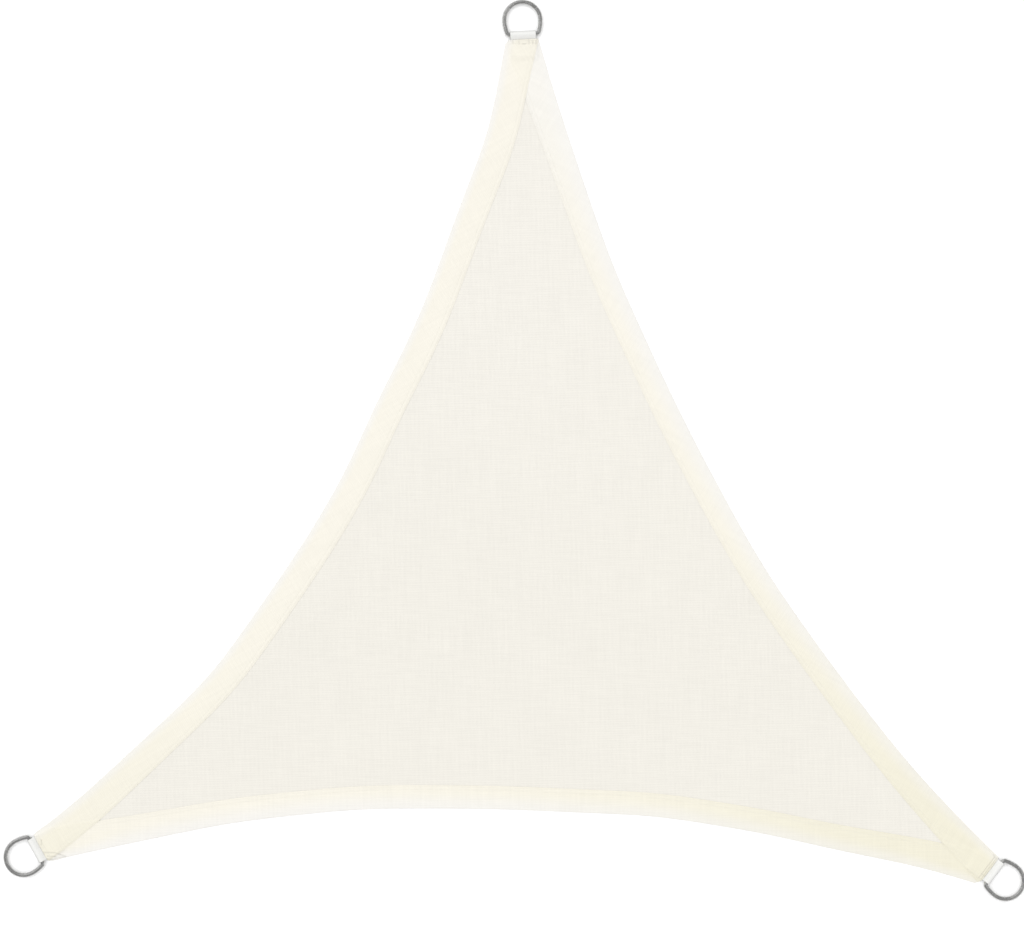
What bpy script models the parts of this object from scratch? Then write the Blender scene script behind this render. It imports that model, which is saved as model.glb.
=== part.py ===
"""Triangular shade sail, lying flat and face up.

A knitted cloth with three curved-in edges. Each edge is turned over into a hem, and the hems lap at
the corners. Each corner ends in a square-cut end that holds the tails of a webbing loop, and the
loop holds the straight bar of a steel D-ring.

Metres, +Z up. The cloth lies on z = 0, with its bottom edge along X and its top corner towards +Y.
The origin is the centre of the whole sail's footprint. Seen from above, the corners and edges run
anticlockwise: top, left, right.
"""

import math
from collections import namedtuple

import bmesh
import bpy
from mathutils import Matrix, Vector

# The triangle of corner ends: 2 m sail, measured over its rings
SIDE_LEFT = 1.852
SIDE_BOTTOM = 1.868
SIDE_RIGHT = 1.873

# Sag is how far an edge curves in from its ends, which lie outside the triangle by overhang.
# Skew moves its deepest point towards the far end. Hem is the hem's width halfway along.
Edge = namedtuple("Edge", "name start end overhang sag skew hem")
EDGES = (
    Edge("left", "top", "left", overhang=0.0365, sag=0.1735, skew=0.145, hem=0.0565),
    Edge("bottom", "left", "right", overhang=0.0380, sag=0.1338, skew=-0.100, hem=0.0455),
    Edge("right", "right", "top", overhang=0.0300, sag=0.1260, skew=-0.100, hem=0.0490),
)

# Where an edge lies off its smooth curve: at this share of its length, this far inwards
Waver = namedtuple("Waver", "edge at inward")
WAVERS = (
    Waver("left", at=0.10, inward=0.0110),
    Waver("left", at=0.41, inward=-0.0075),
    Waver("left", at=0.75, inward=0.0075),
    Waver("left", at=0.97, inward=0.0040),
    Waver("bottom", at=0.00, inward=0.0050),
    Waver("bottom", at=0.21, inward=0.0035),
    Waver("bottom", at=0.33, inward=0.0040),
    Waver("bottom", at=0.65, inward=0.0070),
    Waver("bottom", at=0.75, inward=0.0050),
    Waver("bottom", at=0.93, inward=0.0045),
    Waver("right", at=0.13, inward=0.0020),
    Waver("right", at=0.39, inward=0.0030),
    Waver("right", at=0.75, inward=0.0030),
)
WAVER_SPREAD = 0.07
EDGE_STEPS = 40

# Turn is how far a ring leans from the line that halves its corner, anticlockwise from above
Corner = namedtuple("Corner", "name before after turn")
CORNERS = (
    Corner("top", before="right", after="left", turn=math.radians(3.5)),
    Corner("left", before="left", after="bottom", turn=0.0),
    Corner("right", before="bottom", after="right", turn=math.radians(-6.0)),
)

# Cloth
PANEL_THICKNESS = 0.0012
HEM_THICKNESS = 0.0024
HEM_AT_ENDS = 0.066
END_HALF_WIDTH = 0.029
SHOULDER = 0.008

# Lapped and turned-in hems of one corner, from its end inwards
Lap = namedtuple("Lap", "inwards half_width top")
CORNER_LAPS = (
    Lap(inwards=0.0015, half_width=0.0275, top=0.0064),
    Lap(inwards=0.009, half_width=0.0300, top=0.0064),
    Lap(inwards=0.036, half_width=0.0343, top=0.0064),
    Lap(inwards=0.075, half_width=0.0230, top=0.0045),
    Lap(inwards=0.108, half_width=0.0050, top=0.0027),
)
LAP_FOOT = 0.0006

# D-ring: a half-round bow, legs that draw in to the bar, and the bar's two bends.
# The bow has an odd number of steps, so that its crown is the middle of a step.
WIRE = 0.009
WIRE_SIDES = 16
BOW_RADIUS = 0.0355
BAR_TO_BOW_CENTRE = 0.0276
BAR_HALF_LENGTH = 0.0303
BEND_RADIUS = 0.0055
BOW_STEPS = 29
LEG_STEPS = 5
BEND_STEPS = 5

# Webbing loop
WEBBING_WIDTH = 0.050
WEBBING_THICKNESS = 0.0014
BAR_TO_CLOTH = 0.0105
TAIL_LENGTH = 0.030
PINCH_INSIDE = 0.001
LOOP_STEPS = 20

GAP = 0.0003
SHARP_ANGLE = math.radians(35)

# Heights worked out from the layers
LOOP_RADIUS = WIRE / 2 + GAP + WEBBING_THICKNESS
BAR_HEIGHT = LOOP_RADIUS
TAIL_LOW = PANEL_THICKNESS + GAP
TAIL_HIGH = TAIL_LOW + 2 * WEBBING_THICKNESS

# Turns the wire by half a side, so that one side faces the hole and another the ground
FACE_TO_HOLE = math.pi / WIRE_SIDES


def clear_scene():
    for obj in list(bpy.data.objects):
        bpy.data.objects.remove(obj, do_unlink=True)


def new_collection(name):
    collection = bpy.data.collections.new(name)
    bpy.context.scene.collection.children.link(collection)
    return collection


def new_material(name, colour, roughness, metallic=0.0):
    material = bpy.data.materials.new(name)
    material.use_nodes = True
    shader = material.node_tree.nodes["Principled BSDF"]
    shader.inputs["Base Color"].default_value = (*colour, 1.0)
    shader.inputs["Roughness"].default_value = roughness
    shader.inputs["Metallic"].default_value = metallic
    return material


def crossing(value, low, high):
    """The parameter between low and high where value changes sign, by halving the interval."""
    starts_positive = value(low) > 0
    for _ in range(40):
        middle = (low + high) / 2
        if (value(middle) > 0) == starts_positive:
            low = middle
        else:
            high = middle
    return (low + high) / 2


# The plan of the sail


def corner_points():
    """The middles of the three corner ends, placed by the triangle's side lengths."""
    across = (SIDE_LEFT**2 + SIDE_BOTTOM**2 - SIDE_RIGHT**2) / (2 * SIDE_BOTTOM)
    up = math.sqrt(SIDE_LEFT**2 - across**2)
    left = Vector((-SIDE_BOTTOM / 2, 0, 0))
    return {
        "left": left,
        "right": Vector((SIDE_BOTTOM / 2, 0, 0)),
        "top": left + Vector((across, up, 0)),
    }


POINTS = corner_points()
EDGE_NAMED = {edge.name: edge for edge in EDGES}


def chord(edge):
    """Start, direction, inward direction and length of the straight line under an edge."""
    start = POINTS[edge.start]
    span = POINTS[edge.end] - start
    along = span.normalized()
    inward = Vector((-along.y, along.x, 0))
    return start, along, inward, span.length


def edge_depth(edge, share):
    """How far inside its chord an edge lies, at this share of the chord's length."""
    skewed = share - edge.skew * share * (1 - share)
    depth = 4 * edge.sag * skewed * (1 - skewed) - edge.overhang
    for waver in WAVERS:
        if waver.edge == edge.name:
            depth += waver.inward * math.exp(-(((share - waver.at) / WAVER_SPREAD) ** 2))
    return depth


def hem_width(edge, share):
    """The hem is narrowest halfway along an edge and widens close to both corners."""
    return edge.hem + (HEM_AT_ENDS - edge.hem) * (2 * share - 1) ** 4


def edge_point(edge, share):
    start, along, inward, length = chord(edge)
    return start + along * (share * length) + inward * edge_depth(edge, share)


def hem_point(edge, share):
    """The point of the hem's inner line across from an edge's point."""
    inward = chord(edge)[2]
    return edge_point(edge, share) + inward * hem_width(edge, share)


def inside_hem(edge, point):
    """Positive where a point lies on the panel's side of an edge's hem line."""
    start, along, inward, length = chord(edge)
    offset = point - start
    share = offset.dot(along) / length
    return offset.dot(inward) - edge_depth(edge, share) - hem_width(edge, share)


def corner_frame(corner):
    """A corner's own axes: X across, Y outwards along the ring, Z up, from its cloth end."""
    back = chord(EDGE_NAMED[corner.before])[1]
    onward = chord(EDGE_NAMED[corner.after])[1]
    outward = (back - onward).normalized()
    angle = math.atan2(outward.y, outward.x) - math.pi / 2 + corner.turn
    return Matrix.Translation(POINTS[corner.name]) @ Matrix.Rotation(angle, 4, "Z")


FRAMES = {corner.name: corner_frame(corner) for corner in CORNERS}


def shares(low, high):
    return [low + (high - low) * step / EDGE_STEPS for step in range(EDGE_STEPS + 1)]


def cloth_outline():
    """The three curved edges, joined by the three square-cut ends with their cut-off shoulders."""

    def past_shoulder(edge, corner_name):
        to_corner = FRAMES[corner_name].inverted()
        return lambda share: (to_corner @ edge_point(edge, share)).y + SHOULDER

    outline = []
    for edge in EDGES:
        first = crossing(past_shoulder(edge, edge.start), 0.0, 0.2)
        last = crossing(past_shoulder(edge, edge.end), 0.8, 1.0)
        outline += [edge_point(edge, share) for share in shares(first, last)]
        end = FRAMES[edge.end]
        outline += [end @ Vector((side * END_HALF_WIDTH, 0, 0)) for side in (1, -1)]
    return outline


def panel_outline():
    """The three hem lines, each cut off where it meets the next."""
    outline = []
    for index, edge in enumerate(EDGES):
        before = EDGES[index - 1]
        after = EDGES[(index + 1) % len(EDGES)]
        first = crossing(lambda share: inside_hem(before, hem_point(edge, share)), 0.0, 0.4)
        last = crossing(lambda share: inside_hem(after, hem_point(edge, share)), 0.6, 1.0)
        outline += [hem_point(edge, share) for share in shares(first, last)[:-1]]
    return outline


# Solids


def as_mesh(curve_object, collection):
    """The curve's shape as a welded mesh object of the same name, with the curve removed."""
    graph = bpy.context.evaluated_depsgraph_get()
    mesh = bpy.data.meshes.new_from_object(curve_object.evaluated_get(graph))
    shape = bmesh.new()
    shape.from_mesh(mesh)
    bmesh.ops.remove_doubles(shape, verts=shape.verts, dist=1e-6)
    bmesh.ops.recalc_face_normals(shape, faces=shape.faces)
    shape.to_mesh(mesh)
    shape.free()
    name = curve_object.name
    place = curve_object.matrix_world.copy()
    bpy.data.objects.remove(curve_object, do_unlink=True)
    solid = bpy.data.objects.new(name, mesh)
    solid.matrix_world = place
    collection.objects.link(solid)
    return solid


def extruded(name, outlines, thickness, place, collection):
    """A flat outline with its holes, given thickness evenly to both sides of its own plane."""
    curve = bpy.data.curves.new(name, "CURVE")
    curve.dimensions = "2D"
    curve.fill_mode = "BOTH"
    curve.extrude = thickness / 2
    for outline in outlines:
        spline = curve.splines.new("POLY")
        spline.points.add(len(outline) - 1)
        for point, (x, y) in zip(spline.points, outline):
            point.co = (x, y, 0, 1)
        spline.use_cyclic_u = True
    flat = bpy.data.objects.new(name, curve)
    flat.matrix_world = place
    collection.objects.link(flat)
    bpy.context.view_layer.update()
    return as_mesh(flat, collection)


def plate(name, outline, low, high, collection):
    """A level plate with this plan, between two heights."""
    middle = Matrix.Translation((0, 0, (low + high) / 2))
    return extruded(name, [[point.xy for point in outline]], high - low, middle, collection)


def corner_lap(corner, collection):
    """The thick lapped corner: a loft of upright rectangles that narrow and sink inwards."""
    shape = bmesh.new()
    sections = []
    for lap in CORNER_LAPS:
        centre = -lap.inwards * math.tan(corner.turn)
        ring = (
            (centre - lap.half_width, LAP_FOOT),
            (centre + lap.half_width, LAP_FOOT),
            (centre + lap.half_width, lap.top),
            (centre - lap.half_width, lap.top),
        )
        sections.append([shape.verts.new((x, -lap.inwards, z)) for x, z in ring])
    shape.faces.new(sections[0])
    shape.faces.new(sections[-1])
    for outer, inner in zip(sections, sections[1:]):
        for side in range(4):
            after = (side + 1) % 4
            shape.faces.new((outer[side], outer[after], inner[after], inner[side]))
    bmesh.ops.recalc_face_normals(shape, faces=shape.faces)
    mesh = bpy.data.meshes.new(f"lap_{corner.name}")
    shape.to_mesh(mesh)
    shape.free()
    lap = bpy.data.objects.new(f"lap_{corner.name}", mesh)
    lap.matrix_world = FRAMES[corner.name]
    collection.objects.link(lap)
    return lap


def tangent_arc(radius, upper, lower):
    """Points round the bar from where the line to upper leaves the circle to where lower's does.

    Both points lie inwards of the bar, at +X, so the arc goes round the far side.
    """
    angles = []
    for point, side in ((upper, 1), (lower, -1)):
        toward = math.atan2(point.y, point.x)
        angles.append(toward + side * math.acos(radius / point.length))
    start, end = angles[0], angles[1] + 2 * math.pi
    turns = [start + (end - start) * step / LOOP_STEPS for step in range(LOOP_STEPS + 1)]
    return [Vector((radius * math.cos(turn), radius * math.sin(turn))) for turn in turns]


def loop_section(clearance):
    """The strap seen along the bar, round the bar's middle: +X inwards, +Y up.

    The strap comes off both sides of the bar to a pinch, and its two tails run on together.
    A clearance grows the outline on all sides.
    """
    pinch = BAR_TO_CLOTH + PINCH_INSIDE
    high = TAIL_HIGH - BAR_HEIGHT + clearance
    low = TAIL_LOW - BAR_HEIGHT - clearance
    end = BAR_TO_CLOTH + TAIL_LENGTH + clearance
    upper = Vector((pinch, high))
    lower = Vector((pinch, low))
    arc = tangent_arc(LOOP_RADIUS + clearance, upper, lower)
    return arc + [lower, Vector((end, low)), Vector((end, high)), upper]


def eye_section():
    """The opening inside the strap: the bar's circle with its clearance, drawn out to a point."""
    middle = (TAIL_HIGH + TAIL_LOW) / 2 - BAR_HEIGHT
    point = Vector((BAR_TO_CLOTH - WEBBING_THICKNESS, middle))
    return tangent_arc(WIRE / 2 + GAP, point, point) + [point]


def bar_frame(corner):
    """The frame of a corner's bar: from its middle, X inwards, Y up and Z along the bar."""
    place = Matrix.Translation((0, BAR_TO_CLOTH, BAR_HEIGHT))
    axes = Matrix(((0, 0, -1, 0), (-1, 0, 0, 0), (0, 1, 0, 0), (0, 0, 0, 1)))
    return FRAMES[corner.name] @ place @ axes


def webbing_loop(corner, collection):
    sections = [loop_section(0.0), eye_section()]
    name = f"webbing_loop_{corner.name}"
    loop = extruded(name, sections, WEBBING_WIDTH, bar_frame(corner), collection)
    loop.data.shade_smooth()
    loop.data.set_sharp_from_angle(angle=SHARP_ANGLE)
    return loop


def ring_half():
    """The +X half of the wire's centre line, from the bar's straight round to the bow's crown.

    The leg is part of an ellipse that meets the half-round bow at its widest and passes through
    the bar's end. A bend of constant radius joins leg and bar.
    """
    leg_reach = BAR_TO_BOW_CENTRE / math.sqrt(1 - (BAR_HALF_LENGTH / BOW_RADIUS) ** 2)
    steepness = BOW_RADIUS**2 * BAR_TO_BOW_CENTRE / (leg_reach**2 * BAR_HALF_LENGTH)
    lean = math.atan(steepness)
    bend_start = BAR_HALF_LENGTH - BEND_RADIUS * math.tan(math.pi / 4 - lean / 2)

    def bend_point(step):
        angle = -math.pi / 2 + (math.pi / 2 - lean) * step / BEND_STEPS
        return (
            bend_start + BEND_RADIUS * math.cos(angle),
            BEND_RADIUS + BEND_RADIUS * math.sin(angle),
        )

    def leg_point(step):
        bend_top = BEND_RADIUS * (1 - math.sin(lean))
        y = bend_top + (BAR_TO_BOW_CENTRE - bend_top) * step / LEG_STEPS
        x = BOW_RADIUS * math.sqrt(1 - ((BAR_TO_BOW_CENTRE - y) / leg_reach) ** 2)
        return x, y

    def bow_point(step):
        angle = math.pi * step / BOW_STEPS
        return BOW_RADIUS * math.cos(angle), BAR_TO_BOW_CENTRE + BOW_RADIUS * math.sin(angle)

    bends = [bend_point(step) for step in range(BEND_STEPS + 1)]
    legs = [leg_point(step) for step in range(1, LEG_STEPS)]
    bows = [bow_point(step) for step in range(BOW_STEPS // 2 + 1)]
    return bends + legs + bows


def d_ring(corner, collection):
    """The wire ring. It leans down from its bar, so that the bow's crown meets the ground."""
    half = ring_half()
    path = half + [(-x, y) for x, y in reversed(half)]
    name = f"d_ring_{corner.name}"
    curve = bpy.data.curves.new(name, "CURVE")
    curve.dimensions = "3D"
    curve.bevel_depth = WIRE / 2
    curve.bevel_resolution = WIRE_SIDES // 2 - 2
    spline = curve.splines.new("POLY")
    spline.points.add(len(path) - 1)
    for point, (x, y) in zip(spline.points, path):
        point.co = (x, y, 0, 1)
        point.tilt = FACE_TO_HOLE
    spline.use_cyclic_u = True
    spline.use_smooth = True
    fall = BAR_HEIGHT - WIRE / 2 * math.cos(FACE_TO_HOLE)
    reach = BAR_TO_BOW_CENTRE + BOW_RADIUS + WIRE / 2 * math.sin(FACE_TO_HOLE)
    dip = -math.asin(fall / reach)
    place = Matrix.Translation((0, BAR_TO_CLOTH, BAR_HEIGHT)) @ Matrix.Rotation(dip, 4, "X")
    ring = bpy.data.objects.new(name, curve)
    ring.matrix_world = FRAMES[corner.name] @ place
    collection.objects.link(ring)
    return ring


def combine(target, other, operation):
    step = target.modifiers.new(f"{operation.lower()}_{other.name}", "BOOLEAN")
    step.operation = operation
    step.solver = "EXACT"
    step.object = other
    other.hide_render = True
    other.display_type = "WIRE"


def sail_cloth(parts, cutters):
    """A hem-thick plate, sunk to panel thickness inside the hems and built up at the corners."""
    cloth = plate("sail_cloth", cloth_outline(), 0.0, HEM_THICKNESS, parts)
    recess = plate("panel_recess", panel_outline(), PANEL_THICKNESS, 2 * HEM_THICKNESS, cutters)
    combine(cloth, recess, "DIFFERENCE")
    for corner in CORNERS:
        combine(cloth, corner_lap(corner, cutters), "UNION")
    for corner in CORNERS:
        pocket = extruded(
            f"pocket_{corner.name}",
            [loop_section(GAP)],
            WEBBING_WIDTH + 2 * GAP,
            bar_frame(corner),
            cutters,
        )
        combine(cloth, pocket, "DIFFERENCE")
    return cloth


def finish(obj, material, root):
    obj.data.materials.clear()
    obj.data.materials.append(material)
    obj.parent = root


def centre_footprint(root, solids):
    """Moves everything so that the middle of the footprint is the origin."""
    bpy.context.view_layer.update()
    graph = bpy.context.evaluated_depsgraph_get()
    corners = []
    for solid in solids:
        evaluated = solid.evaluated_get(graph)
        mesh = evaluated.to_mesh()
        corners += [evaluated.matrix_world @ vertex.co for vertex in mesh.vertices]
        evaluated.to_mesh_clear()
    middle_x = (min(point.x for point in corners) + max(point.x for point in corners)) / 2
    middle_y = (min(point.y for point in corners) + max(point.y for point in corners)) / 2
    root.location = (-middle_x, -middle_y, 0)


def main():
    clear_scene()
    parts = new_collection("shade_sail")
    cutters = new_collection("shade_sail_cutters")
    root = bpy.data.objects.new("shade_sail_root", None)
    parts.objects.link(root)

    knit = new_material("cream_knit", (0.86, 0.83, 0.74), roughness=0.85)
    webbing = new_material("off_white_webbing", (0.82, 0.81, 0.76), roughness=0.75)
    steel = new_material("polished_steel", (0.62, 0.62, 0.61), roughness=0.18, metallic=1.0)

    cloth = sail_cloth(parts, cutters)
    finish(cloth, knit, root)
    solids = [cloth]
    for corner in CORNERS:
        loop = webbing_loop(corner, parts)
        finish(loop, webbing, root)
        ring = d_ring(corner, parts)
        finish(ring, steel, root)
        solids += [loop, ring]
    for cutter in cutters.objects:
        cutter.parent = root
    centre_footprint(root, solids)


main()
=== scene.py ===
"""Looks of a triangular shade sail that lies flat and face up.

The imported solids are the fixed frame. The cloth is one sheet of fine knit with three turned hems laid
over its edges, the webbing loops are folded straps, and the rings are bent from polished wire. All
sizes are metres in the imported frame: +X along the bottom edge, +Y towards the top corner, +Z up.
"""

import logging
import math
from collections.abc import Iterable
from dataclasses import dataclass, field
from enum import Enum

import bpy
import numpy as np
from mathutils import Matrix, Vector


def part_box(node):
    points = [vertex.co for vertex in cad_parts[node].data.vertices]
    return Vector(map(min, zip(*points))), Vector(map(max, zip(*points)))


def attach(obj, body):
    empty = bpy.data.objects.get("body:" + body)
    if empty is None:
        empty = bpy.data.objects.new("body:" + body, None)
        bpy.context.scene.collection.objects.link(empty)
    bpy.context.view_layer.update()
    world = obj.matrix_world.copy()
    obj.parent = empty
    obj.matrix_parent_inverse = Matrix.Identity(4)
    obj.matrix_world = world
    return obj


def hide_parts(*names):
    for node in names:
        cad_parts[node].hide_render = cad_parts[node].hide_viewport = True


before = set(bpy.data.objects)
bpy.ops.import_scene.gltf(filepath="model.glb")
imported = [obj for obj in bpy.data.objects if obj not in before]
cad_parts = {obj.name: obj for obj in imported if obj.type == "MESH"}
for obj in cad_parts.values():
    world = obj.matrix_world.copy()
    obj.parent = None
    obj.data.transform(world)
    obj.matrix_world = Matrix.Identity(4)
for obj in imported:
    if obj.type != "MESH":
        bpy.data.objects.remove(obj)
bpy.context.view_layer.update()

LOG = logging.getLogger("shade_sail")

MM = 0.001
# What a distance counts as where nothing limits it
FAR = 1.0
# Where nearly all of the noise texture's values lie
NOISE_RANGE = (0.3, 0.7)

Pair = tuple[float, float]
Triple = tuple[float, float, float]
Line = tuple[Pair, ...]
Socket = bpy.types.NodeSocket


# Small numeric helpers


def smooth(value: np.ndarray, low: float, high: float) -> np.ndarray:
    """Eases from 0 at low to 1 at high, with level ends.

    Args:
        value: Where to work it out.
        low: Value at which the result is 0.
        high: Value at which the result is 1.

    Returns:
        3t² - 2t³, with t the value's clipped share of the way from low to high.
    """
    share = np.clip((np.asarray(value, float) - low) / (high - low), 0.0, 1.0)
    return share * share * (3.0 - 2.0 * share)


def rounding(distance: np.ndarray, radius: float) -> np.ndarray:
    """Height share of a quarter-round that starts at an edge.

    Args:
        distance: Distance from the edge.
        radius: Radius of the round.

    Returns:
        sqrt(1 - (1 - d/r)²), which is 0 at the edge and 1 from one radius inwards.
    """
    missing = 1.0 - np.clip(np.asarray(distance, float) / radius, 0.0, 1.0)
    return np.sqrt(np.clip(1.0 - missing * missing, 0.0, 1.0))


def bell(distance: np.ndarray, reach: float) -> np.ndarray:
    """The bell curve exp(-(d/r)²), which is 1 at no distance and 0.37 at its reach."""
    return np.exp(-((distance / reach) ** 2))


def blend(first: np.ndarray, second: np.ndarray, share: np.ndarray) -> np.ndarray:
    """The first value at a share of 0, the second at 1, and in proportion between them."""
    return first * (1 - share) + second * share


def unit(vectors: np.ndarray) -> np.ndarray:
    """Vectors divided by their lengths along the last axis."""
    return vectors / np.linalg.norm(vectors, axis=-1, keepdims=True)


def linear(colour: Triple) -> np.ndarray:
    """The linear light, from 0 to 1, of an 8-bit display colour, by the usual sRGB curve."""
    share = np.asarray(colour, float) / 255.0
    return np.where(share <= 0.04045, share / 12.92, ((share + 0.055) / 1.055) ** 2.4)


def raised(plan: np.ndarray, height: np.ndarray) -> np.ndarray:
    """Plan points with their heights added as a third coordinate."""
    return np.concatenate([plan, height[..., None]], axis=-1)


def run_along(path: np.ndarray) -> np.ndarray:
    """Length along a polyline from its start to each of its points."""
    return np.concatenate([[0.0], np.cumsum(np.linalg.norm(np.diff(path, axis=0), axis=1))])


def resampled(path: np.ndarray, pitch: float) -> np.ndarray:
    """Points at an even pitch along a polyline, by straight interpolation over its length.

    Args:
        path: Points of the polyline, one row each.
        pitch: Wanted distance between points.

    Returns:
        The evenly spaced points, in the middle of each step.
    """
    run = run_along(path)
    count = max(1, int(run[-1] / pitch))
    places = (np.arange(count) + 0.5) * run[-1] / count
    return np.stack([np.interp(places, run, path[:, axis]) for axis in range(path.shape[1])], axis=1)


def cut_grid(along: np.ndarray, across: np.ndarray) -> np.ndarray:
    """Flat layout of a grid's vertices, from each row's place along and each column's across."""
    return np.stack(np.broadcast_arrays(along[:, None], across[None, :]), axis=-1).reshape(-1, 2)


def from_line(points: np.ndarray, line: np.ndarray) -> np.ndarray:
    """Distance of points from a polyline.

    Args:
        points: The points, with their two coordinates last.
        line: The polyline's points, one row each.

    Returns:
        The distance from the nearest of its pieces.
    """
    least = np.full(points.shape[:-1], np.inf)
    for start, end in zip(line[:-1], line[1:]):
        span = end - start
        share = np.clip((points - start) @ span / (span @ span), 0.0, 1.0)
        gap = points - start - share[..., None] * span
        least = np.minimum(least, np.hypot(gap[..., 0], gap[..., 1]))
    return least


def within(across: np.ndarray, depth: np.ndarray, area: Triple) -> np.ndarray:
    """Whether places lie in a corner's area: its least depth, its most, and its half width."""
    return (depth > area[0]) & (depth < area[1]) & (np.abs(across) < area[2])


# Mesh making


def grid_quads(
    rows: int, columns: int, closed_rows: bool = False, closed_columns: bool = False
) -> np.ndarray:
    """Quads of a grid whose vertices are stored row by row.

    Args:
        rows: Number of rows of vertices.
        columns: Number of vertices in a row.
        closed_rows: Whether the last row joins the first.
        closed_columns: Whether the last column joins the first.

    Returns:
        Four vertex numbers for each quad, anticlockwise where rows run along Y and columns along X.
    """
    row = np.arange(rows if closed_rows else rows - 1)[:, None]
    column = np.arange(columns if closed_columns else columns - 1)[None, :]
    next_row = (row + 1) % rows
    next_column = (column + 1) % columns
    quads = (
        row * columns + column,
        row * columns + next_column,
        next_row * columns + next_column,
        next_row * columns + column,
    )
    return np.stack(np.broadcast_arrays(*quads), axis=-1).reshape(-1, 4)


@dataclass
class Surface:
    """Vertices and quads of one piece, with what its finish reads from them."""

    points: np.ndarray
    quads: np.ndarray
    layout: np.ndarray | None = None
    dye: np.ndarray | None = None

    def made(self, name: str, finish: bpy.types.Material) -> bpy.types.Object:
        """Puts the surface into a smooth mesh object at the origin.

        Args:
            name: Name of the piece.
            finish: Its material.

        Returns:
            The new object, linked to the scene.
        """
        mesh = bpy.data.meshes.new(name)
        mesh.vertices.add(len(self.points))
        mesh.vertices.foreach_set("co", self.points.astype(np.float32).ravel())
        mesh.loops.add(self.quads.size)
        mesh.loops.foreach_set("vertex_index", self.quads.astype(np.int32).ravel())
        mesh.polygons.add(len(self.quads))
        mesh.polygons.foreach_set("loop_start", np.arange(0, self.quads.size, 4, dtype=np.int32))
        mesh.update(calc_edges=True)
        mesh.shade_smooth()
        if self.layout is not None:
            unwrapped = mesh.uv_layers.new(name="cut")
            unwrapped.data.foreach_set("uv", self.layout[self.quads.ravel()].astype(np.float32).ravel())
        if self.dye is not None:
            tint = mesh.color_attributes.new("dye", "FLOAT_COLOR", "POINT")
            full = np.concatenate([self.dye, np.ones((len(self.dye), 1))], axis=1)
            tint.data.foreach_set("color", full.astype(np.float32).ravel())
        mesh.materials.append(finish)
        piece = bpy.data.objects.new(name, mesh)
        bpy.context.scene.collection.objects.link(piece)
        return piece


def shell(top: np.ndarray, bottom: np.ndarray) -> tuple[np.ndarray, np.ndarray]:
    """A closed sheet between two grids of the same size, joined by a strip round their borders.

    Args:
        top: Upper grid of points, rows by columns by three.
        bottom: Lower grid.

    Returns:
        All points, upper grid first, and the quads.
    """
    rows, columns = top.shape[:2]
    upper = grid_quads(rows, columns)
    numbers = np.arange(rows * columns).reshape(rows, columns)
    rim = np.concatenate([numbers[0, :-1], numbers[:-1, -1], numbers[-1, :0:-1], numbers[:0:-1, 0]])
    onward = np.roll(rim, -1)
    below = rows * columns
    strip = np.stack([rim, rim + below, onward + below, onward], axis=1)
    points = np.concatenate([top.reshape(-1, 3), bottom.reshape(-1, 3)])
    return points, np.concatenate([upper, upper[:, ::-1] + below, strip])


def joined(surfaces: list[Surface]) -> Surface:
    """Several surfaces as one.

    Args:
        surfaces: The surfaces, whose layouts and dyes are dropped.

    Returns:
        One surface with all their points and quads.
    """
    starts = np.cumsum([0] + [len(surface.points) for surface in surfaces[:-1]])
    quads = [surface.quads + start for surface, start in zip(surfaces, starts)]
    return Surface(np.concatenate([surface.points for surface in surfaces]), np.concatenate(quads))


# The plan of the sail


class Corner(Enum):
    """The three corners of the sail."""

    TOP = "top"
    LEFT = "left"
    RIGHT = "right"


class Layer(Enum):
    """Which hem lies on which where two lap at a corner, lowest first."""

    BOTTOM = 0
    RIGHT = 1
    LEFT = 2


@dataclass(frozen=True)
class EdgeLine:
    """One curved-in edge of the cloth, and the hem along it."""

    name: str
    layer: Layer
    start: Corner
    end: Corner
    overhang: float
    sag: float
    skew: float
    hem: float
    wavers: Line

    def depth(self, share: np.ndarray, spread: float) -> np.ndarray:
        """How far the edge lies inside its chord.

        The depth is 4·sag·k·(1 - k) - overhang, with k = s - skew·s·(1 - s), plus a bell curve
        for each waver.

        Args:
            share: Share s of the chord's length.
            spread: Half width of the wavers' bell curves, as a share.

        Returns:
            The depth at each share.
        """
        moved = share - self.skew * share * (1.0 - share)
        depth = 4.0 * self.sag * moved * (1.0 - moved) - self.overhang
        for place, inward in self.wavers:
            depth = depth + inward * bell(share - place, spread)
        return depth


@dataclass(frozen=True)
class CornerFrame:
    """A corner's own axes in plan: across, and outward along the ring, from its cloth end."""

    origin: np.ndarray
    across: np.ndarray
    outward: np.ndarray

    def local(self, plan: np.ndarray) -> tuple[np.ndarray, np.ndarray]:
        """Place across the corner and depth inwards from its end, for plan points."""
        offset = plan - self.origin
        return offset @ self.across, -(offset @ self.outward)

    def world(self, x: np.ndarray, y: np.ndarray, z: np.ndarray) -> np.ndarray:
        """Packed-frame points from places across, outward and up."""
        x, y, z = np.broadcast_arrays(x, y, z)
        return raised(self.origin + x[..., None] * self.across + y[..., None] * self.outward, z)


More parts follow.
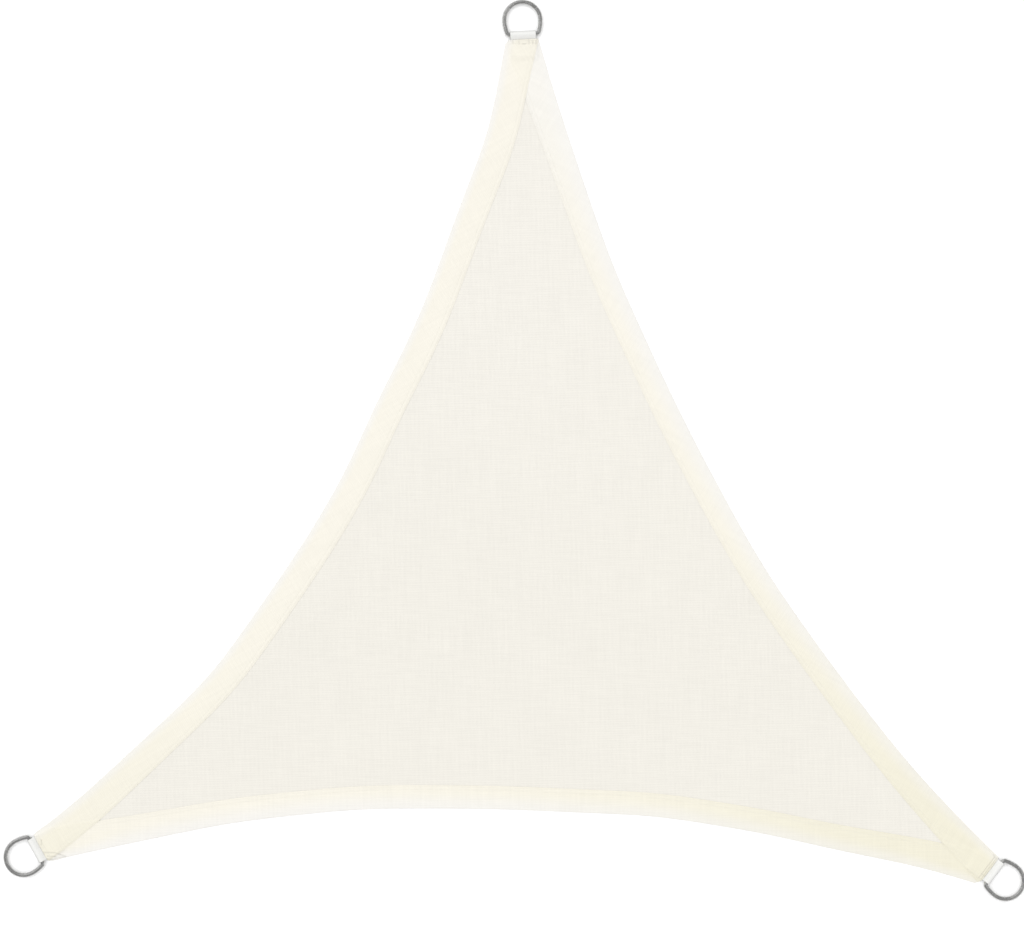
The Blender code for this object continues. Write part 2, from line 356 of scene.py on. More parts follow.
@dataclass
class SailPlan:
    """The sail seen from above: corners, curved edges, hems and square-cut ends.

    A turn is how far a ring points away from the middle of its corner, in degrees. The points over
    a shoulder lie at a few set shares of it, then at an even run of first share, last and count.
    """

    side_left: float = 1.852
    side_bottom: float = 1.868
    side_right: float = 1.873
    waver_spread: float = 0.07
    hem_at_ends: float = 0.066
    end_half_width: float = 0.029
    shoulder: float = 0.008
    shoulder_search: float = 0.2
    shoulder_starts: Triple = (0.0, 0.02, 0.06)
    shoulder_steps: tuple[float, float, int] = (0.12, 0.92, 11)
    halvings: int = 40
    turns: dict[Corner, float] = field(
        default_factory=lambda: {Corner.TOP: 3.5, Corner.LEFT: 0.0, Corner.RIGHT: -6.0}
    )
    edges: tuple[EdgeLine, ...] = (
        EdgeLine(
            name="left",
            layer=Layer.LEFT,
            start=Corner.TOP,
            end=Corner.LEFT,
            overhang=0.0365,
            sag=0.1735,
            skew=0.145,
            hem=0.0565,
            wavers=((0.10, 0.0110), (0.41, -0.0075), (0.75, 0.0075), (0.97, 0.0040)),
        ),
        EdgeLine(
            name="bottom",
            layer=Layer.BOTTOM,
            start=Corner.LEFT,
            end=Corner.RIGHT,
            overhang=0.0380,
            sag=0.1338,
            skew=-0.100,
            hem=0.0455,
            wavers=(
                (0.0, 0.0050), (0.21, 0.0035), (0.33, 0.0040),
                (0.65, 0.0070), (0.75, 0.0050), (0.93, 0.0045),
            ),
        ),
        EdgeLine(
            name="right",
            layer=Layer.RIGHT,
            start=Corner.RIGHT,
            end=Corner.TOP,
            overhang=0.0300,
            sag=0.1260,
            skew=-0.100,
            hem=0.0490,
            wavers=((0.13, 0.0020), (0.39, 0.0030), (0.75, 0.0030)),
        ),
    )

    def __post_init__(self) -> None:
        """Places the corners and their axes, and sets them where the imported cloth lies."""
        across = (self.side_left**2 + self.side_bottom**2 - self.side_right**2) / (2 * self.side_bottom)
        up = math.sqrt(self.side_left**2 - across**2)
        left = np.array([-self.side_bottom / 2, 0.0])
        right = np.array([self.side_bottom / 2, 0.0])
        self.settle({Corner.LEFT: left, Corner.RIGHT: right, Corner.TOP: left + np.array([across, up])})
        low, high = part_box("sail_cloth")
        least = min(self.end_point(Corner.LEFT, side)[0] for side in (-1, 1))
        most = max(self.end_point(Corner.TOP, side)[1] for side in (-1, 1))
        shift = np.array([low.x - least, high.y - most])
        self.settle({corner: place + shift for corner, place in self.points.items()})

    def settle(self, points: dict[Corner, np.ndarray]) -> None:
        """Sets the corners' plan points, and works out their axes."""
        self.points = points
        self.frames = {corner: self.corner_frame(corner) for corner in Corner}

    def chord(self, edge: EdgeLine) -> tuple[np.ndarray, np.ndarray, np.ndarray, float]:
        """The straight line under an edge, from corner to corner.

        Args:
            edge: The edge.

        Returns:
            Its start, direction, inward direction and length.
        """
        start = self.points[edge.start]
        span = self.points[edge.end] - start
        length = float(np.hypot(*span))
        along = span / length
        return start, along, np.array([-along[1], along[0]]), length

    def corner_frame(self, corner: Corner) -> CornerFrame:
        """The axes of a corner, halfway between its two edges' chords and turned with its ring.

        Args:
            corner: The corner.

        Returns:
            Its axes.
        """
        before = next(edge for edge in self.edges if edge.end is corner)
        after = next(edge for edge in self.edges if edge.start is corner)
        x, y = unit(self.chord(before)[1] - self.chord(after)[1])
        turn = math.radians(self.turns[corner])
        cosine, sine = math.cos(turn), math.sin(turn)
        outward = np.array([x * cosine - y * sine, x * sine + y * cosine])
        return CornerFrame(self.points[corner], np.array([outward[1], -outward[0]]), outward)

    def corner_depth(self, plan: np.ndarray, corners: Iterable[Corner] = Corner) -> np.ndarray:
        """Depth of plan points inwards from the end of whichever of these corners is nearest."""
        return np.min([self.frames[corner].local(plan)[1] for corner in corners], axis=0)

    def below(self, layer: Layer) -> list[EdgeLine]:
        """The edges whose hems lie under a layer."""
        return [edge for edge in self.edges if edge.layer.value < layer.value]

    def end_point(self, corner: Corner, side: int) -> np.ndarray:
        """The end of a square-cut end, on its +across side or its other one."""
        place = self.frames[corner]
        return place.origin + side * self.end_half_width * place.across

    def edge_point(self, edge: EdgeLine, share: np.ndarray) -> np.ndarray:
        """Plan points on an edge.

        Args:
            edge: The edge.
            share: Shares of its chord.

        Returns:
            One point for each share.
        """
        start, along, normal, length = self.chord(edge)
        depth = edge.depth(share, self.waver_spread)
        return start + (share * length)[..., None] * along + depth[..., None] * normal

    def inside(self, edge: EdgeLine, plan: np.ndarray) -> tuple[np.ndarray, np.ndarray]:
        """Where plan points lie against an edge.

        Args:
            edge: The edge.
            plan: The points.

        Returns:
            How far they lie inward of it, and their shares of its chord.
        """
        start, along, normal, length = self.chord(edge)
        offset = plan - start
        share = offset @ along / length
        return offset @ normal - edge.depth(share, self.waver_spread), share

    def hem_width(self, edge: EdgeLine, share: np.ndarray) -> np.ndarray:
        """A hem's width at a share of its chord: least in the middle, fourth-power growth to its ends."""
        return edge.hem + (self.hem_at_ends - edge.hem) * (2.0 * share - 1.0) ** 4

    def shoulder_share(self, edge: EdgeLine, corner: Corner) -> float:
        """The share at which an edge meets the cut-off shoulder of a corner, by halving.

        Args:
            edge: The edge.
            corner: One of its two corners.

        Returns:
            Share of the edge's chord.
        """
        low, high = (0.0, self.shoulder_search) if corner is edge.start else (1.0, 1.0 - self.shoulder_search)
        for _ in range(self.halvings):
            middle = (low + high) / 2
            depth = self.frames[corner].local(self.edge_point(edge, np.array(middle)))[1]
            low, high = (middle, high) if depth < self.shoulder else (low, middle)
        return (low + high) / 2

    def outer_line(self, edge: EdgeLine, shares: np.ndarray) -> np.ndarray:
        """Plan points along an edge, from one end's corner over its shoulder to the other's.

        Args:
            edge: The edge.
            shares: Places from 0 to 1, spread over the edge between its shoulders.

        Returns:
            The points, whose first and last few lie on the straight shoulders.
        """
        first = self.shoulder_share(edge, edge.start)
        last = self.shoulder_share(edge, edge.end)
        curve = self.edge_point(edge, first + (last - first) * shares)
        steps = np.concatenate([self.shoulder_starts, np.linspace(*self.shoulder_steps)])[:, None]
        start = self.end_point(edge.start, -1)
        end = self.end_point(edge.end, 1)
        head = start + (curve[0] - start) * steps
        tail = end + (curve[-1] - end) * steps[::-1]
        return np.concatenate([head, curve, tail])

    def opposite(self, edge: EdgeLine, plan: np.ndarray) -> np.ndarray:
        """How far inside the cloth's other sides plan points lie.

        Args:
            edge: The edge whose own side isn't counted.
            plan: The points.

        Returns:
            The least distance from the other two edges, and from their shoulders near a corner.
        """
        others = [self.inside(other, plan)[0] for other in self.edges if other is not edge]
        for corner, side in ((edge.start, 1), (edge.end, -1)):
            across, depth = self.frames[corner].local(plan)
            reach = self.end_half_width + depth * self.shoulder_slope(corner, side)
            near = depth < 2 * self.shoulder
            others.append(np.where(near, reach - side * across, FAR))
        return np.min(others, axis=0)

    def shoulder_slope(self, corner: Corner, side: int) -> float:
        """How fast the cloth widens across a shoulder.

        Args:
            corner: The corner.
            side: 1 for its +across side, -1 for its other one.

        Returns:
            Widening for each metre of depth.
        """
        edge = next(e for e in self.edges if (e.end if side > 0 else e.start) is corner)
        point = self.edge_point(edge, np.array(self.shoulder_share(edge, corner)))
        across, depth = self.frames[corner].local(point)
        return float((side * across - self.end_half_width) / depth)


@dataclass(frozen=True)
class CornerSeams:
    """Stitching round one corner's end, in millimetres across the corner and inwards from its end."""

    corner: Corner
    tacks: tuple[Line, ...] = ()
    pleats: tuple[Line, ...] = ()
    row_depths: Pair = (3.4, 8.0)
    row_half_width: float = 26.0
    row_strength: float = 0.25

    def rows(self) -> list[np.ndarray]:
        """The two rows across the end that hold the webbing."""
        side = self.row_half_width
        return [np.array([(-side, depth), (side, depth)]) * MM for depth in self.row_depths]

    def extras(self) -> list[np.ndarray]:
        """Short tacks over the end and the stitched pleats beside it."""
        return [np.array(line) * MM for line in self.tacks + self.pleats]


TOP_SEAMS = CornerSeams(
    Corner.TOP,
    tacks=(
        ((-8.6, 0.8), (-9.0, 9.2)),
        ((-21.0, 1.0), (-20.4, 7.0)),
        ((11.2, 0.8), (10.8, 10.0)),
        ((18.9, 3.0), (18.6, 9.8)),
        ((24.9, 4.0), (24.4, 10.0)),
        ((-2.5, 9.6), (4.0, 9.8)),
    ),
)
LEFT_SEAMS = CornerSeams(
    Corner.LEFT,
    tacks=(((12.0, 9.0), (4.0, 4.4)),),
    pleats=(
        (
            (-11.0, 1.0), (-14.2, 6.0), (-16.6, 11.0), (-20.0, 17.0),
            (-25.0, 23.0), (-33.0, 29.0), (-38.5, 34.0),
        ),
        ((-21.0, 4.6), (-25.0, 10.0), (-29.6, 17.2)),
        ((-25.0, 1.2), (-28.6, 5.0), (-32.0, 10.0), (-34.0, 17.0), (-36.4, 26.0), (-39.5, 35.0)),
    ),
)
RIGHT_SEAMS = CornerSeams(
    Corner.RIGHT,
    tacks=(((-27.4, 12.4), (-24.2, 5.4)), ((17.0, 1.0), (16.4, 8.6))),
    row_depths=(2.8, 7.6),
    row_strength=1.0,
)


@dataclass
class LayerHeights:
    """How high the cloth's layers lie at any point of the plan.

    A pair of distances is where a change starts and where it ends. An area is the least depth and
    the most at which a form is worked out, and for a corner its half width. A ripple is its size,
    its turn along X and along Y in radians a metre, and its shift.
    """

    plan: SailPlan
    sheet: float = 0.0012
    hem: float = 0.0012
    lapped_hem: float = 0.0010
    lapped: Pair = (0.06, 0.16)
    drape: Pair = (-0.001, 0.005)
    hem_area: Pair = (-0.05, 0.2)
    tail_height: float = 0.0032
    tail_half_width: float = 0.0252
    tail_depth: float = 0.031
    tail_ramp: float = 0.014
    tail_area: Triple = (-0.02, 0.2, 0.15)
    gather: float = 0.0008
    gather_reach: float = 0.075
    gather_widening: float = 0.28
    gather_depth: float = 0.3
    ripple_height: float = 0.0005
    ripple_fade: Pair = (0.06, 0.35)
    ripples: tuple[tuple[float, float, float, float], ...] = (
        (1.0, 9.1, 4.3, 0.4),
        (0.8, -6.7, 12.9, 2.1),
        (0.5, 21.0, 3.0, 1.0),
        (0.4, 5.0, -27.0, 0.0),
    )
    ripple_total: float = 2.7
    face_gap: float = 0.00009
    pull: float = 0.00070
    pull_width: float = 0.0013
    roll: float = 0.00055
    roll_width: float = 0.0028
    seam_area: Triple = (-0.01, 0.06, 0.06)
    seams: tuple[CornerSeams, ...] = (TOP_SEAMS, LEFT_SEAMS, RIGHT_SEAMS)

    def ripple(self, plan: np.ndarray) -> np.ndarray:
        """Slack in the sheet: a sum of long sine waves that fades out towards the corners.

        Args:
            plan: Plan points.

        Returns:
            Heights, never below 0.
        """
        x, y = plan[..., 0], plan[..., 1]
        waves = sum(size * np.sin(by_x * x + by_y * y + shift) for size, by_x, by_y, shift in self.ripples)
        fades = [smooth(place.local(plan)[1], *self.ripple_fade) for place in self.plan.frames.values()]
        return self.ripple_height * np.prod(fades, axis=0) * (1.0 + waves / self.ripple_total)

    def tail_bump(self, plan: np.ndarray) -> np.ndarray:
        """The rise of the hems over the webbing's tails, and of the cloth gathered by them.

        Args:
            plan: Plan points.

        Returns:
            The added height.
        """
        rise = np.zeros(plan.shape[:-1])
        for place in self.plan.frames.values():
            across, depth = place.local(plan)
            over = 1.0 - smooth(depth, self.tail_depth, self.tail_depth + self.tail_ramp)
            beside = 1.0 - smooth(np.abs(across), self.tail_half_width, self.plan.end_half_width)
            gathered = bell(depth, self.gather_reach) * self.gathered_across(across, depth)
            near = within(across, depth, self.tail_area)
            rise = rise + near * (self.tail_height * over * beside + self.gather * gathered)
        return rise

    def gathered_across(self, across: np.ndarray, depth: np.ndarray) -> np.ndarray:
        """Share of the gathered rise across a corner: full on its middle line, none at its sides."""
        half = self.plan.end_half_width + self.gather_widening * np.clip(depth, 0.0, self.gather_depth)
        return np.clip(1.0 - (across / half) ** 2, 0.0, 1.0)

    def covered(self, edge: EdgeLine, plan: np.ndarray) -> np.ndarray:
        """How much of its height a hem lends to what lies over it.

        Args:
            edge: The hem's edge.
            plan: Plan points.

        Returns:
            Shares from 0 clear of it to 1 on it.
        """
        inside, share = self.plan.inside(edge, plan)
        near = (inside > self.hem_area[0]) & (inside < self.hem_area[1])
        return near * (1.0 - smooth(inside - self.plan.hem_width(edge, share), *self.drape))

    def press(self, plan: np.ndarray) -> np.ndarray:
        """Thickness of one hem, which is pressed thinner where layers lap at the corners."""
        eased = smooth(self.plan.corner_depth(plan), *self.lapped)
        return self.lapped_hem + (self.hem - self.lapped_hem) * eased

    def bed(self, plan: np.ndarray) -> np.ndarray:
        """Height of the sheet's face, with its slack and its rise over the webbing's tails."""
        return self.sheet + self.ripple(plan) + self.tail_bump(plan)

    def with_hems(self, height: np.ndarray, edges: Iterable[EdgeLine], plan: np.ndarray) -> np.ndarray:
        """A height with hems added where they lie.

        Args:
            height: Heights before.
            edges: The hems' edges.
            plan: Plan points.

        Returns:
            Heights above the ground.
        """
        for edge in edges:
            height = height + self.press(plan) * self.covered(edge, plan)
        return height

    def support(self, layer: Layer, plan: np.ndarray) -> np.ndarray:
        """Height of what a hem lies on: the sheet, the webbing's tails and the hems below it."""
        return self.with_hems(self.bed(plan), self.plan.below(layer), plan)

    def stitch_marks(self, plan: np.ndarray) -> tuple[np.ndarray, np.ndarray]:
        """How strongly the stitching at the corners draws the face in, and rolls it up beside.

        Args:
            plan: Plan points.

        Returns:
            Shares of the full dip, a bell curve across each row, and of the roll at its sides.
        """
        dips, rolls = np.zeros(plan.shape[:-1]), np.zeros(plan.shape[:-1])
        for seams in self.seams:
            across, depth = self.plan.frames[seams.corner].local(plan)
            near = within(across, depth, self.seam_area)
            spot = np.stack([across[near], depth[near]], axis=-1)
            for lines, strength in ((seams.rows(), seams.row_strength), (seams.extras(), 1.0)):
                distance = np.min([from_line(spot, line) for line in lines], axis=0)
                for marks, width in ((dips, self.pull_width), (rolls, self.roll_width)):
                    marks[near] = np.maximum(marks[near], strength * bell(distance, width))
        return dips, np.maximum(rolls - dips, 0.0)

    def puckers(self, plan: np.ndarray) -> np.ndarray:
        """Heights that the corners' stitching adds to the face: dips along rows, rolls beside them."""
        dips, rolls = self.stitch_marks(plan)
        return self.roll * rolls - self.pull * dips

    def face(self, plan: np.ndarray) -> np.ndarray:
        """Height of the topmost face by the corners, on which their stitching lies."""
        top = self.bed(plan) + self.face_gap + self.puckers(plan)
        return self.with_hems(top, self.plan.edges, plan)


# Finishes


class Graph:
    """Short ways to add and join the shader nodes of one material."""

    def __init__(self, name: str) -> None:
        """Starts a material with only its output and one Principled shader.

        Args:
            name: Name of the material.
        """
        self.material = bpy.data.materials.new(name)
        self.material.use_nodes = True
        self.tree = self.material.node_tree
        self.shader = self.tree.nodes["Principled BSDF"]

    def node(self, kind: str, **settings: object) -> bpy.types.Node:
        """Adds a node.

        Args:
            kind: Its Blender type.
            **settings: Its properties.

        Returns:
            The new node.
        """
        added = self.tree.nodes.new(kind)
        for key, value in settings.items():
            setattr(added, key, value)
        return added

    def feed(self, socket: Socket, value: object) -> None:
        """Links a socket, or sets its value.

        Args:
            socket: The socket.
            value: Another node's output to link, or a plain value to set.
        """
        if isinstance(value, Socket):
            self.tree.links.new(value, socket)
        else:
            socket.default_value = value

    def cut_map(self) -> Socket:
        """The piece's own flat layout, in metres."""
        return self.node("ShaderNodeUVMap", uv_map="cut").outputs[0]

    def split(self, place: Socket) -> tuple[Socket, Socket]:
        """A flat place taken apart.

        Args:
            place: Socket with the place.

        Returns:
            Sockets with its first and its second coordinate.
        """
        parts = self.node("ShaderNodeSeparateXYZ")
        self.feed(parts.inputs[0], place)
        return parts.outputs[0], parts.outputs[1]

    def place(self) -> Socket:
        """The Object coordinates, in metres."""
        return self.node("ShaderNodeTexCoord").outputs["Object"]

    def dye(self) -> Socket:
        """The piece's dye attribute, as a colour."""
        return self.node("ShaderNodeVertexColor", layer_name="dye").outputs["Color"]

    def math(self, operation: str, *values: object) -> Socket:
        """One Math node.

        Args:
            operation: Its Blender operation.
            *values: Sockets or numbers, in the order of its inputs.

        Returns:
            Its output.
        """
        added = self.node("ShaderNodeMath", operation=operation)
        for socket, value in zip(added.inputs, values):
            self.feed(socket, value)
        return added.outputs[0]

    def product(self, first: object, second: object) -> Socket:
        """One value times another."""
        return self.math("MULTIPLY", first, second)

    def wave(self, place: Socket, pitch: float, shift: object = 0.0) -> Socket:
        """A cosine wave between 0 and 1 along a place in metres.

        Args:
            place: Socket with the place.
            pitch: Length of one wave in metres.
            shift: Angle added, in radians.

        Returns:
            Socket with 0.5 + 0.5·cos(2π·place/pitch + shift).
        """
        angle = self.math("MULTIPLY_ADD", place, 2 * math.pi / pitch, shift)
        return self.math("MULTIPLY_ADD", self.math("COSINE", angle), 0.5, 0.5)

    def noise(self, place: Socket, scale: Triple, detail: float = 2.0) -> Socket:
        """Noise that is stretched along the axes.

        Args:
            place: Socket with the place.
            scale: Waves for each metre, on each axis.
            detail: Number of finer layers.

        Returns:
            Socket with a value that mostly lies in NOISE_RANGE.
        """
        mapping = self.node("ShaderNodeMapping")
        self.feed(mapping.inputs["Vector"], place)
        mapping.inputs["Scale"].default_value = scale
        cloud = self.node("ShaderNodeTexNoise")
        self.feed(cloud.inputs["Vector"], mapping.outputs[0])
        cloud.inputs["Scale"].default_value = 1.0
        cloud.inputs["Detail"].default_value = detail
        return cloud.outputs["Fac"]

    def span(self, value: object, low: float, high: float, start: float, end: float) -> Socket:
        """Maps one range on to another, clamped.

        Args:
            value: Socket with the value.
            low: Value that gives start.
            high: Value that gives end.
            start: Result at low.
            end: Result at high.

        Returns:
            Socket with the result.
        """
        added = self.node("ShaderNodeMapRange", clamp=True)
        self.feed(added.inputs["Value"], value)
        for socket, number in zip(list(added.inputs)[1:5], (low, high, start, end)):
            socket.default_value = number
        return added.outputs["Result"]

    def tone(self, noise: Socket, low: float, high: float) -> Socket:
        """Noise spread over low to high."""
        return self.span(noise, *NOISE_RANGE, low, high)

    def paint(self, colour: object, shade: object) -> None:
        """Sets the shader's colour.

        Args:
            colour: Socket or linear colour.
            shade: Number that it is multiplied by.
        """
        added = self.node("ShaderNodeVectorMath", operation="SCALE")
        self.feed(added.inputs[0], colour)
        self.feed(added.inputs["Scale"], shade)
        self.feed(self.shader.inputs["Base Color"], added.outputs[0])

    def bump(self, height: object, distance: float) -> None:
        """Joins a height to the shader's normal.

        Args:
            height: Socket with a height from 0 to 1.
            distance: What a height of 1 stands for, in metres.
        """
        added = self.node("ShaderNodeBump")
        added.inputs["Strength"].default_value = 1.0
        added.inputs["Distance"].default_value = distance
        self.feed(added.inputs["Height"], height)
        self.feed(self.shader.inputs["Normal"], added.outputs[0])

    def fix(self, **values: object) -> None:
        """Feeds the shader's own sockets, which are named with _ for each space."""
        for key, value in values.items():
            self.feed(self.shader.inputs[key.replace("_", " ")], value)


@dataclass(frozen=True)
class Mottle:
    """One layer of noise that lightens and darkens a cloth."""

    scale: Triple
    low: float
    high: float
    detail: float


@dataclass(frozen=True)
class KnitFinish:
    """Warp-knitted cloth of flat tape: upright chains, with tape laid across between them."""

    name: str
    sheer: float = 0.10
    # Painted shade in the knit's hollows, and the share of it that lightens the ridges as a painted highlight
    relief_painted_shade: float = 0.08
    ridge_painted_highlight: float = 0.35
    wale_pitch: float = 0.0026
    course_pitch: float = 0.0017
    drift: float = 0.0012
    drift_scale: Triple = (7.0, 1.6, 1.0)
    drift_range: Pair = (0.2, 0.8)
    loop_lean: float = 2.2
    loop_low: float = 0.7
    chain_power: float = 1.6
    tape_power: float = 0.8
    tape_height: float = 0.62
    gap_range: Pair = (0.03, 0.30)
    relief: float = 0.00022
    roughness: Pair = (0.92, 0.77)
    sheen: float = 0.15
    sheen_roughness: float = 0.5
    specular: float = 0.25
    slubs: Mottle = Mottle((16.0, 260.0, 1.0), 0.985, 1.012, 1.0)
    streaks: Mottle = Mottle((190.0, 9.0, 1.0), 0.988, 1.012, 1.0)
    clouds: Mottle = Mottle((9.0, 9.0, 1.0), 0.994, 1.006, 2.0)

    def material(self) -> bpy.types.Material:
        """Builds the material. It reads the piece's cut map in metres and its dye attribute.

        Chains are cosine waves across, beaded by waves along. Tapes are waves along at twice the
        loops' pitch, shifted half a wave from one chain to the next. The higher of the two shows.

        Returns:
            A material with chains, crossing tapes, slubs, small gaps and a soft sheen, with painted shade in
            the knit's hollows and a painted highlight on its ridges.
        """
        graph = Graph(self.name)
        cut = graph.cut_map()
        across, along = graph.split(cut)
        drift = graph.span(graph.noise(cut, self.drift_scale), *self.drift_range, -self.drift, self.drift)
        placed = graph.math("ADD", across, drift)
        chain = graph.wave(placed, self.wale_pitch)
        loops = graph.wave(along, self.course_pitch, graph.product(chain, self.loop_lean))
        zigzag = graph.product(graph.wave(placed, 2 * self.wale_pitch), math.pi)
        tape = graph.wave(along, 2 * self.course_pitch, zigzag)
        bead = graph.span(loops, 0.0, 1.0, self.loop_low, 1.0)
        ridge = graph.product(graph.math("POWER", chain, self.chain_power), bead)
        band = graph.product(graph.math("POWER", tape, self.tape_power), self.tape_height)
        height = graph.math("MAXIMUM", ridge, band)

        # Painted shade and highlight: by its height, the knit is painted darker in its hollows and lighter on
        # its ridges
        shade = graph.span(height, 0.0, 1.0, 1.0 - self.relief_painted_shade, 1.0 + self.ridge_painted_highlight * self.relief_painted_shade)
        for layer in (self.slubs, self.streaks, self.clouds):
            noise = graph.noise(cut, layer.scale, layer.detail)
            shade = graph.product(shade, graph.tone(noise, layer.low, layer.high))
        graph.paint(graph.dye(), shade)
        if self.sheer:
            graph.fix(Alpha=graph.span(height, *self.gap_range, 1.0 - self.sheer, 1.0))
        graph.fix(Roughness=graph.span(height, 0.0, 1.0, *self.roughness))
        graph.fix(Sheen_Weight=self.sheen, Sheen_Roughness=self.sheen_roughness)
        graph.fix(Specular_IOR_Level=self.specular)
        graph.bump(height, self.relief)
        return graph.material


@dataclass(frozen=True)
class StrapFinish:
    """Woven strap: fine ribs across its width, a herringbone of warp yarns and fuzz."""

    name: str = "off_white_strap"
    colour: Triple = (0.775, 0.775, 0.755)
    rib_pitch: float = 0.0013
    rib_lean: float = 5.0
    rib_low: float = 0.45
    warp_pitch: float = 0.0024
    warp_low: float = 0.7
    weave_low: float = 0.3
    # Painted shade in the weave's hollows, up to a painted highlight on its ribs
    weave_painted_shade: Pair = (0.84, 1.04)
    fuzz_scale: Triple = (420.0, 420.0, 1.0)
    fuzz_shade: Pair = (0.97, 1.03)
    roughness: Pair = (0.6, 0.78)
    sheen: float = 0.1
    specular: float = 0.3
    relief: float = 0.00025

    def material(self) -> bpy.types.Material:
        """Builds the material, on the strap's cut map, along in X and across in Y, and its dye attribute.

        Ribs are cosine waves along that sway across the strap, times the warp's waves across it. By their
        height, the weave's hollows get painted shade and its ribs a painted highlight.

        Returns:
            The woven strap material.
        """
        graph = Graph(self.name)
        cut = graph.cut_map()
        along, across = graph.split(cut)
        lean = graph.product(graph.wave(across, 4 * self.warp_pitch), self.rib_lean)
        ribs = graph.span(graph.wave(along, self.rib_pitch, lean), 0.0, 1.0, self.rib_low, 1.0)
        warp = graph.span(graph.wave(across, self.warp_pitch), 0.0, 1.0, self.warp_low, 1.0)
        height = graph.product(ribs, warp)
        fuzz = graph.noise(cut, self.fuzz_scale)
        # Painted shade and highlight: by its height, the weave is painted darker in its hollows and lighter
        # on its ribs
        weave = graph.span(height, self.weave_low, 1.0, *self.weave_painted_shade)
        graph.paint(graph.dye(), graph.product(weave, graph.tone(fuzz, *self.fuzz_shade)))
        graph.fix(Roughness=graph.tone(fuzz, *self.roughness))
        graph.fix(Sheen_Weight=self.sheen, Specular_IOR_Level=self.specular)
        graph.bump(height, self.relief)
        return graph.material


@dataclass(frozen=True)
class ThreadFinish:
    """Twisted sewing thread."""

    name: str = "cream_thread"
    colour: Triple = (0.74, 0.72, 0.65)
    twist_scale: Triple = (1800.0, 1800.0, 1800.0)
    twist_detail: float = 1.0
    shade: Pair = (0.88, 1.06)
    roughness: Pair = (0.45, 0.65)
    sheen: float = 0.05
    relief: float = 0.0001

    def material(self) -> bpy.types.Material:
        """Builds the material on Object coordinates, with a fine twist and a slight gloss.

        Returns:
            The thread material.
        """
        graph = Graph(self.name)
        twist = graph.noise(graph.place(), self.twist_scale, self.twist_detail)
        graph.paint(self.colour, graph.tone(twist, *self.shade))
        graph.fix(Roughness=graph.tone(twist, *self.roughness), Sheen_Weight=self.sheen)
        graph.bump(twist, self.relief)
        return graph.material


@dataclass(frozen=True)
class WireFinish:
    """Polished steel wire with faint drawing lines and dull patches."""

    name: str = "polished_steel_wire"
    colour: Triple = (0.60, 0.60, 0.59)
    line_scale: Triple = (60.0, 2600.0, 1.0)
    line_shade: Pair = (0.95, 1.04)
    line_roughness: Pair = (0.16, 0.24)
    patch_scale: Triple = (140.0, 140.0, 140.0)
    patch_detail: float = 3.0
    patch_shade: Pair = (0.9, 1.05)
    patch_range: Pair = (0.4, 0.75)
    patch_roughness: Pair = (0.0, 0.12)
    relief: float = 0.00002

    def material(self) -> bpy.types.Material:
        """Builds the material: lines on the wire's cut map, along in X and round it in Y, and patches.

        Returns:
            The steel material.
        """
        graph = Graph(self.name)
        lines = graph.noise(graph.cut_map(), self.line_scale)
        patches = graph.noise(graph.place(), self.patch_scale, self.patch_detail)
        shade = graph.product(graph.tone(lines, *self.line_shade), graph.tone(patches, *self.patch_shade))
        graph.paint(self.colour, shade)
        dull = graph.span(patches, *self.patch_range, *self.patch_roughness)
        graph.fix(Roughness=graph.math("ADD", graph.tone(lines, *self.line_roughness), dull), Metallic=1.0)
        graph.bump(graph.math("ADD", lines, patches), self.relief)
        return graph.material


@dataclass(frozen=True)
class PaperFinish:
    """Seamless white studio paper."""

    name: str = "studio_paper"
    colour: Triple = (0.97, 0.97, 0.97)
    cloud_scale: Triple = (3.0, 3.0, 3.0)
    shade: Pair = (0.995, 1.005)
    roughness: float = 0.9
    specular: float = 0.1

    def material(self) -> bpy.types.Material:
        """Builds the material, with a barely uneven matt tone.

        Returns:
            The paper material.
        """
        graph = Graph(self.name)
        graph.paint(self.colour, graph.tone(graph.noise(graph.place(), self.cloud_scale), *self.shade))
        graph.fix(Roughness=self.roughness, Specular_IOR_Level=self.specular)
        return graph.material


@dataclass(frozen=True)
class HemTint:
    """How one hem's colour runs.

    It has the reach of its fold's tone and of the right corner's yellow, and the strength of its
    yellow at the left corner and of its white at the top one.
    """

    fold_reach: float
    warm_reach: float
    left_warmth: float = 0.0
    top_white: float = 0.0


